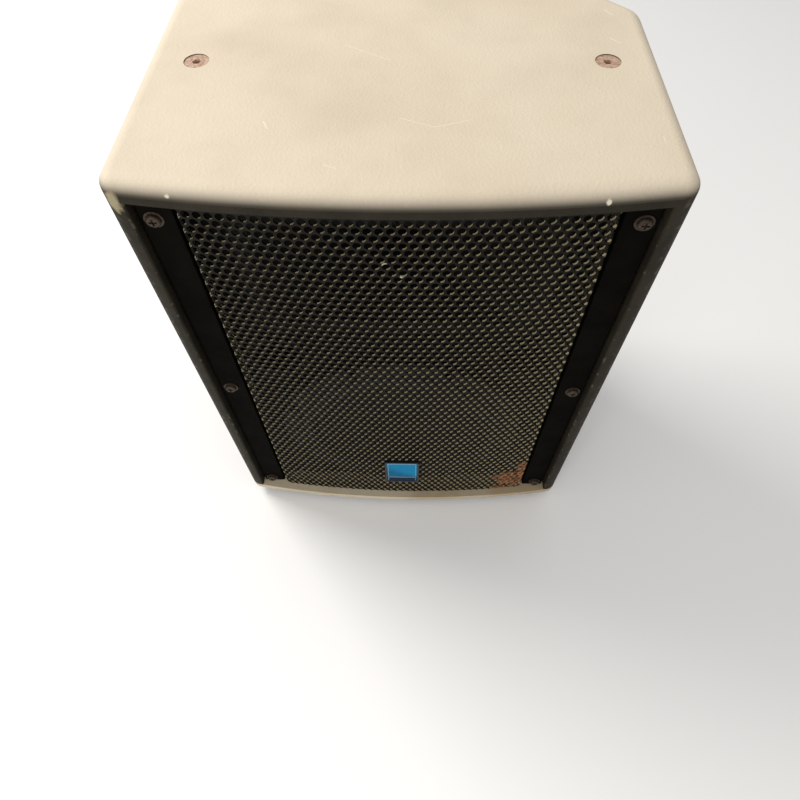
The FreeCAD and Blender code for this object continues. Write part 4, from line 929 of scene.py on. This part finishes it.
@dataclass
class Annulus:
    """A soft ring between a fixed frame and a moving middle, as equal sectors."""

    name: str
    node: str
    slot: str
    moving: Body
    centre: Vector
    outer: float
    inner: float
    profile: list[tuple[float, float]]
    thickness: float
    sectors: int
    steps: int

    def build(self) -> None:
        """Spins one sector, thickens it and copies it round."""
        angle = 360.0 / self.sectors
        points = [(self.centre.x + r, y, self.centre.z) for r, y in self.profile]
        first = Bench.path(f"{self.name}_01", points)
        Bench.turn(first, tuple(self.centre), "Y", angle / 2)
        Bench.spin(first, tuple(self.centre), (0, 1, 0), angle, self.steps)
        reach = max((first.matrix_world @ v.co - self.centre).x for v in first.data.vertices)
        if min(v.co.x - self.centre.x for v in first.data.vertices) < 0 or reach < self.outer * 0.9:
            LOG.warning("%s spun the wrong way", self.name)
        Bench.edit(first)
        bpy.ops.mesh.remove_doubles(threshold=1e-6)
        bpy.ops.mesh.normals_make_consistent(inside=False)
        bpy.ops.object.mode_set(mode="OBJECT")
        if sum(f.normal.y * f.area for f in first.data.polygons) > 0:
            first.data.flip_normals()
        Bench.modify(first, "SOLIDIFY", thickness=self.thickness, offset=0.0)
        bpy.ops.object.shade_smooth_by_angle(angle=math.radians(40))
        dress(first, self.slot)
        pieces = [first]
        for i in range(1, self.sectors):
            twin = Bench.copy(first, f"{self.name}_{i + 1:02d}")
            Bench.turn(twin, tuple(self.centre), "Y", angle * i)
            pieces.append(twin)
        for i, piece in enumerate(pieces):
            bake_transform(piece)
        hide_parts(self.node)
        LOG.info("%s: %d sectors", self.name, self.sectors)


@dataclass
class Woofer:
    """The ten-inch driver: spun cone, surround and spider, with its CAD frame and motor."""

    flange: float = field(default_factory=lambda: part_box("woofer_gasket")[1].y)
    centre_z: float = field(default_factory=lambda: sum(v.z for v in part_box("woofer_gasket")) / 2)
    roll_outer: float = 112.0 * MM
    cone_outer: float = 93.0 * MM
    cone_lip: float = 88.0 * MM
    neck: float = 26.6 * MM
    depth: float = 46.0 * MM
    curve: float = 0.86
    paper: float = 1.0 * MM

    @property
    def centre(self) -> Vector:
        """A point on the woofer's axis, in the plane of its frame."""
        return Vector((0, self.flange, self.centre_z))

    def cone_y(self, radius: float) -> float:
        """Y of the cone's middle surface at a radius."""
        share = (self.cone_lip - radius) / (self.cone_lip - self.neck)
        rib = 0.35 * MM * math.sin(share * 8 * math.pi) if 0.15 < share < 0.7 else 0.0
        return self.flange + self.paper / 2 + self.depth * max(share, 0.0) ** self.curve + rib

    def make_cone(self) -> None:
        """Spins the paper cone with its pressed ribs."""
        steps = 40
        radii = [self.cone_outer, self.cone_lip] + [
            self.cone_lip + (self.neck - self.cone_lip) * i / steps for i in range(1, steps + 1)
        ]
        points = [(r, self.cone_y(min(r, self.cone_lip)), self.centre_z) for r in radii]
        cone = Bench.path("paper_cone", points)
        Bench.spin(cone, tuple(self.centre), (0, 1, 0), 360, 96)
        Bench.settle(cone)
        if sum(f.normal.y * f.area for f in cone.data.polygons) > 0:
            cone.data.flip_normals()
        Bench.modify(cone, "SOLIDIFY", thickness=self.paper, offset=0.0)
        bpy.ops.object.shade_smooth_by_angle(angle=math.radians(35))
        dress(cone, "cone_paper")
        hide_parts("woofer_cone")
        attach(cone, Body.CONE.value)
        LOG.info("paper_cone: %d faces", len(cone.data.polygons))

    def make_surround(self) -> None:
        """Half roll with a flat lip on each side."""
        middle, roll = (self.roll_outer + self.cone_outer) / 2, (self.roll_outer - self.cone_outer) / 2
        skin = 1.0 * MM
        level = self.flange - skin / 2
        bends = [math.pi * i / 14 for i in range(15)]
        arch = [(middle + (roll - skin / 2) * math.cos(a),
                 level - (roll - skin) * math.sin(a)) for a in bends]
        profile = [(self.roll_outer - 0.2 * MM, level)] + arch + [(self.cone_outer - 4 * MM, level)]
        Annulus(
            "surround", "woofer_surround", "surround_rubber", Body.CONE, self.centre,
            self.roll_outer, self.cone_outer, profile, skin, 16, 6,
        ).build()

    def make_spider(self) -> None:
        """Corrugated cloth between the frame's ledge and the coil former."""
        low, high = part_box("spider")
        outer, inner = high.x, 25.7 * MM
        level = (low.y + high.y) / 2
        steps = 48
        profile = []
        for i in range(steps + 1):
            radius = outer + (inner - outer) * i / steps
            share = min(max((outer - 5 * MM - radius) / (2 * MM), 0.0),
                        1.0) * min(max((radius - inner - 2 * MM) / (2 * MM), 0.0), 1.0)
            profile.append((radius,
                            level + share * 1.3 * MM * math.sin((outer - radius) / (5 * MM) * 2 * math.pi)))
        Annulus(
            "spider_cloth", "spider", "doped_cloth", Body.CONE, self.centre,
            outer, inner + 0.5 * MM, profile, 0.6 * MM, 12, 6,
        ).build()

    def build(self) -> None:
        """Makes the moving skins and dresses the rest."""
        self.make_cone()
        self.make_surround()
        self.make_spider()
        keep({
            "dust_cap": "cone_paper", "voice_coil": "coil_copper", "woofer_basket": "frame_paint",
            "woofer_gasket": "gasket_board", "woofer_bolts": "frame_paint", "woofer_tee_nuts": "zinc_steel",
            "magnet_ring": "ferrite", "magnet_top_plate": "zinc_steel", "pole_piece": "zinc_steel",
            "woofer_terminals": "terminal_brass",
        })


@dataclass
class Horn:
    """The horn with its compression driver."""

    def make_suspension(self) -> None:
        """The driver's small ring of doped cloth, in sectors."""
        low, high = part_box("diaphragm_suspension")
        inner, outer = 22.3 * MM, high.x
        level = (low.y + high.y) / 2
        steps = 12
        profile = [
            (outer + (inner - outer) * i / steps, level - 0.5 * MM * math.sin(math.pi * i / steps) ** 2)
            for i in range(steps + 1)
        ]
        centre = Vector((0, level, (low.z + high.z) / 2))
        Annulus(
            "suspension", "diaphragm_suspension", "doped_cloth", Body.DIAPHRAGM, centre,
            outer, inner, profile, 0.3 * MM, 8, 8,
        ).build()

    def build(self) -> None:
        """Makes the suspension and dresses the hard parts."""
        self.make_suspension()
        keep({
            "horn": "horn_plastic", "horn_screws": "frame_paint", "driver_body": "driver_metal",
            "driver_cap": "driver_metal", "phase_plug": "horn_plastic", "diaphragm": "diaphragm_alloy",
            "port_tubes": "horn_plastic",
        })


@dataclass
class Fittings:
    """Handle, input plate, feet and pole socket."""

    ribs: int = 9

    def make_grip(self) -> None:
        """The handle's bar with moulded ribs and swollen ends."""
        low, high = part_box("handle_grip")
        centre = (low + high) / 2
        radius = (high.y - low.y) / 2
        steps, rib_depth, plain = 72, 0.7 * MM, 18 * MM
        points = []
        for i in range(steps + 1):
            z = low.z + (high.z - low.z) * i / steps
            inside = min(z - low.z, high.z - z)
            pitch = (high.z - low.z - 2 * plain) / self.ribs
            wave = 0.5 - 0.5 * math.cos((z - low.z - plain) / pitch * 2 * math.pi) if inside > plain else 0.0
            points.append((centre.x + radius - rib_depth * wave, centre.y, z))
        grip = Bench.path("ribbed_grip",
                          [(centre.x, centre.y, low.z)] + points + [(centre.x, centre.y, high.z)])
        Bench.spin(grip, tuple(centre), (0, 0, 1), 360, 40)
        Bench.settle(grip)
        dress(grip, "grip_rubber")
        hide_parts("handle_grip")
        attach(grip, Body.CABINET.value)
        LOG.info("ribbed_grip: %d faces", len(grip.data.polygons))

    def build(self) -> None:
        """Makes the grip and dresses the rest."""
        self.make_grip()
        keep({
            "handle_dish": "dish_paint", "handle_screws": "zinc_steel", "input_plate": "dish_paint",
            "input_screws": "zinc_steel", "jack_sockets": "socket_plastic", "jack_nuts": "nut_chrome",
            "feet": "foot_rubber", "wedge_feet": "foot_rubber", "foot_screws": "zinc_steel",
            "pole_socket": "socket_plastic", "pole_socket_screws": "zinc_steel",
        })


@dataclass
class Inside:
    """Crossover, leads and wadding."""

    def make_pad(self) -> None:
        """Felt wadding: a crowned pad, drawn in along two rows of staples."""
        low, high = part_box("damping_pad")
        pad = Bench.block("wadding_pad", tuple(low), tuple(high))
        Bench.edit(pad)
        bpy.ops.mesh.subdivide(number_cuts=24)
        bpy.ops.object.mode_set(mode="OBJECT")
        size, depth = high - low, high.y - low.y
        for corner in pad.data.vertices:
            across, up = (corner.co.x - low.x) / size.x, (corner.co.z - low.z) / size.z
            crown = min(1.0, max(0.0, 5 * min(across, 1 - across, up, 1 - up))) ** 0.4
            wave_across = max(0.0, math.cos(across * 4 * math.pi)) ** 6
            wave_up = max(0.0, math.cos(up * 6 * math.pi)) ** 6
            tuft = 1 - 0.35 * wave_across * wave_up
            thick = (high.y - corner.co.y) / depth
            corner.co.y = high.y - depth * thick * max(crown, 0.25) * tuft
        Bench.settle(pad, smooth=60.0)
        dress(pad, "felt")
        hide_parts("damping_pad")
        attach(pad, Body.CABINET.value)
        LOG.info("wadding_pad: %d faces", len(pad.data.polygons))

    def build(self) -> None:
        """Makes the wadding and dresses the rest."""
        self.make_pad()
        keep({
            "crossover_board": "board_laminate", "board_standoffs": "standoff_nylon",
            "crossover_coils": "coil_copper", "crossover_capacitors": "capacitor_sleeve",
            "crossover_resistors": "resistor_ceramic", "input_lead": "lead_sleeve",
            "woofer_lead": "lead_sleeve", "driver_lead": "lead_sleeve",
        })


@dataclass
class Studio:
    """Pale floor, soft light and the camera."""

    place: Point = (0.01310, -0.44559, 0.77221)
    heading: float = -2.394
    dip: float = 55.925
    roll: float = 1.278
    lens: float = 27.58
    shift: float = -0.05

    def make_floor(self) -> None:
        """A plain pale floor under the feet."""
        Bench.clear()
        bpy.ops.mesh.primitive_plane_add(size=30.0, location=(0, 0, 0))
        floor = bpy.context.object
        floor.name = "floor"
        pale = bpy.data.materials.new("floor_pale")
        pale.use_nodes = True
        shader = pale.node_tree.nodes["Principled BSDF"]
        shader.inputs["Base Color"].default_value = (0.95, 0.95, 0.95, 1.0)
        shader.inputs["Roughness"].default_value = 0.9
        floor.data.materials.append(pale)

    def lamp(self, name: str, place: Point, aim: Point, size: float, watts: float, tint: Colour) -> None:
        """A square soft light.

        Args:
            name: The light's name.
            place: Where it hangs.
            aim: The point it faces.
            size: Its side.
            watts: Its power.
            tint: Its colour.
        """
        Bench.clear()
        bpy.ops.object.light_add(type="AREA", location=place)
        light = bpy.context.object
        light.name = name
        light.data.size = size
        light.data.energy = watts
        light.data.color = tint[:3]
        light.rotation_euler = (Vector(aim) - Vector(place)).to_track_quat("-Z", "Y").to_euler()

    def make_light(self) -> None:
        """Soft daylight from behind and above, with a pale surround."""
        scene = bpy.context.scene
        scene.view_settings.view_transform = "Standard"
        world = bpy.data.worlds.new("studio_air")
        world.use_nodes = True
        air = world.node_tree.nodes["Background"]
        air.inputs["Color"].default_value = (1.0, 0.99, 0.975, 1.0)
        air.inputs["Strength"].default_value = 0.55
        scene.world = world
        self.lamp("key", (-1.4, 0.75, 1.8), (0, 0, 0.4), 1.0, 35.0, (1.0, 0.97, 0.93, 1.0))
        self.lamp("fill", (-0.5, -1.4, 0.85), (0, -0.1, 0.1), 0.9, 9.0, (1.0, 0.97, 0.92, 1.0))

    def make_camera(self) -> None:
        """The camera, above the front and looking down."""
        heading, dip, roll = (math.radians(a) for a in (self.heading, self.dip, self.roll))
        ahead = Vector((math.sin(heading) * math.cos(dip), math.cos(heading) * math.cos(dip), -math.sin(dip)))
        level = Vector((math.cos(heading), -math.sin(heading), 0))
        down = ahead.cross(level)
        right = level * math.cos(roll) + down * math.sin(roll)
        up = level * math.sin(roll) - down * math.cos(roll)
        turn = Matrix((right, up, -ahead)).transposed().to_4x4()
        data = bpy.data.cameras.new("camera")
        data.lens, data.sensor_width, data.shift_y = self.lens, 36.0, self.shift
        camera = bpy.data.objects.new("camera", data)
        camera.matrix_world = Matrix.Translation(self.place) @ turn
        bpy.context.scene.collection.objects.link(camera)
        bpy.context.scene.camera = camera

    def build(self) -> None:
        """Sets up the stage."""
        self.make_floor()
        self.make_light()
        self.make_camera()


def main() -> None:
    """Builds every sub-assembly in order."""
    logging.basicConfig(level=logging.INFO, format="%(message)s")
    for part in (Studio(), Shell(), Grille(), Badge(), Woofer(), Horn(), Fittings(), Inside()):
        part.build()
    Bench.clear()


if __name__ == "__main__":
    main()
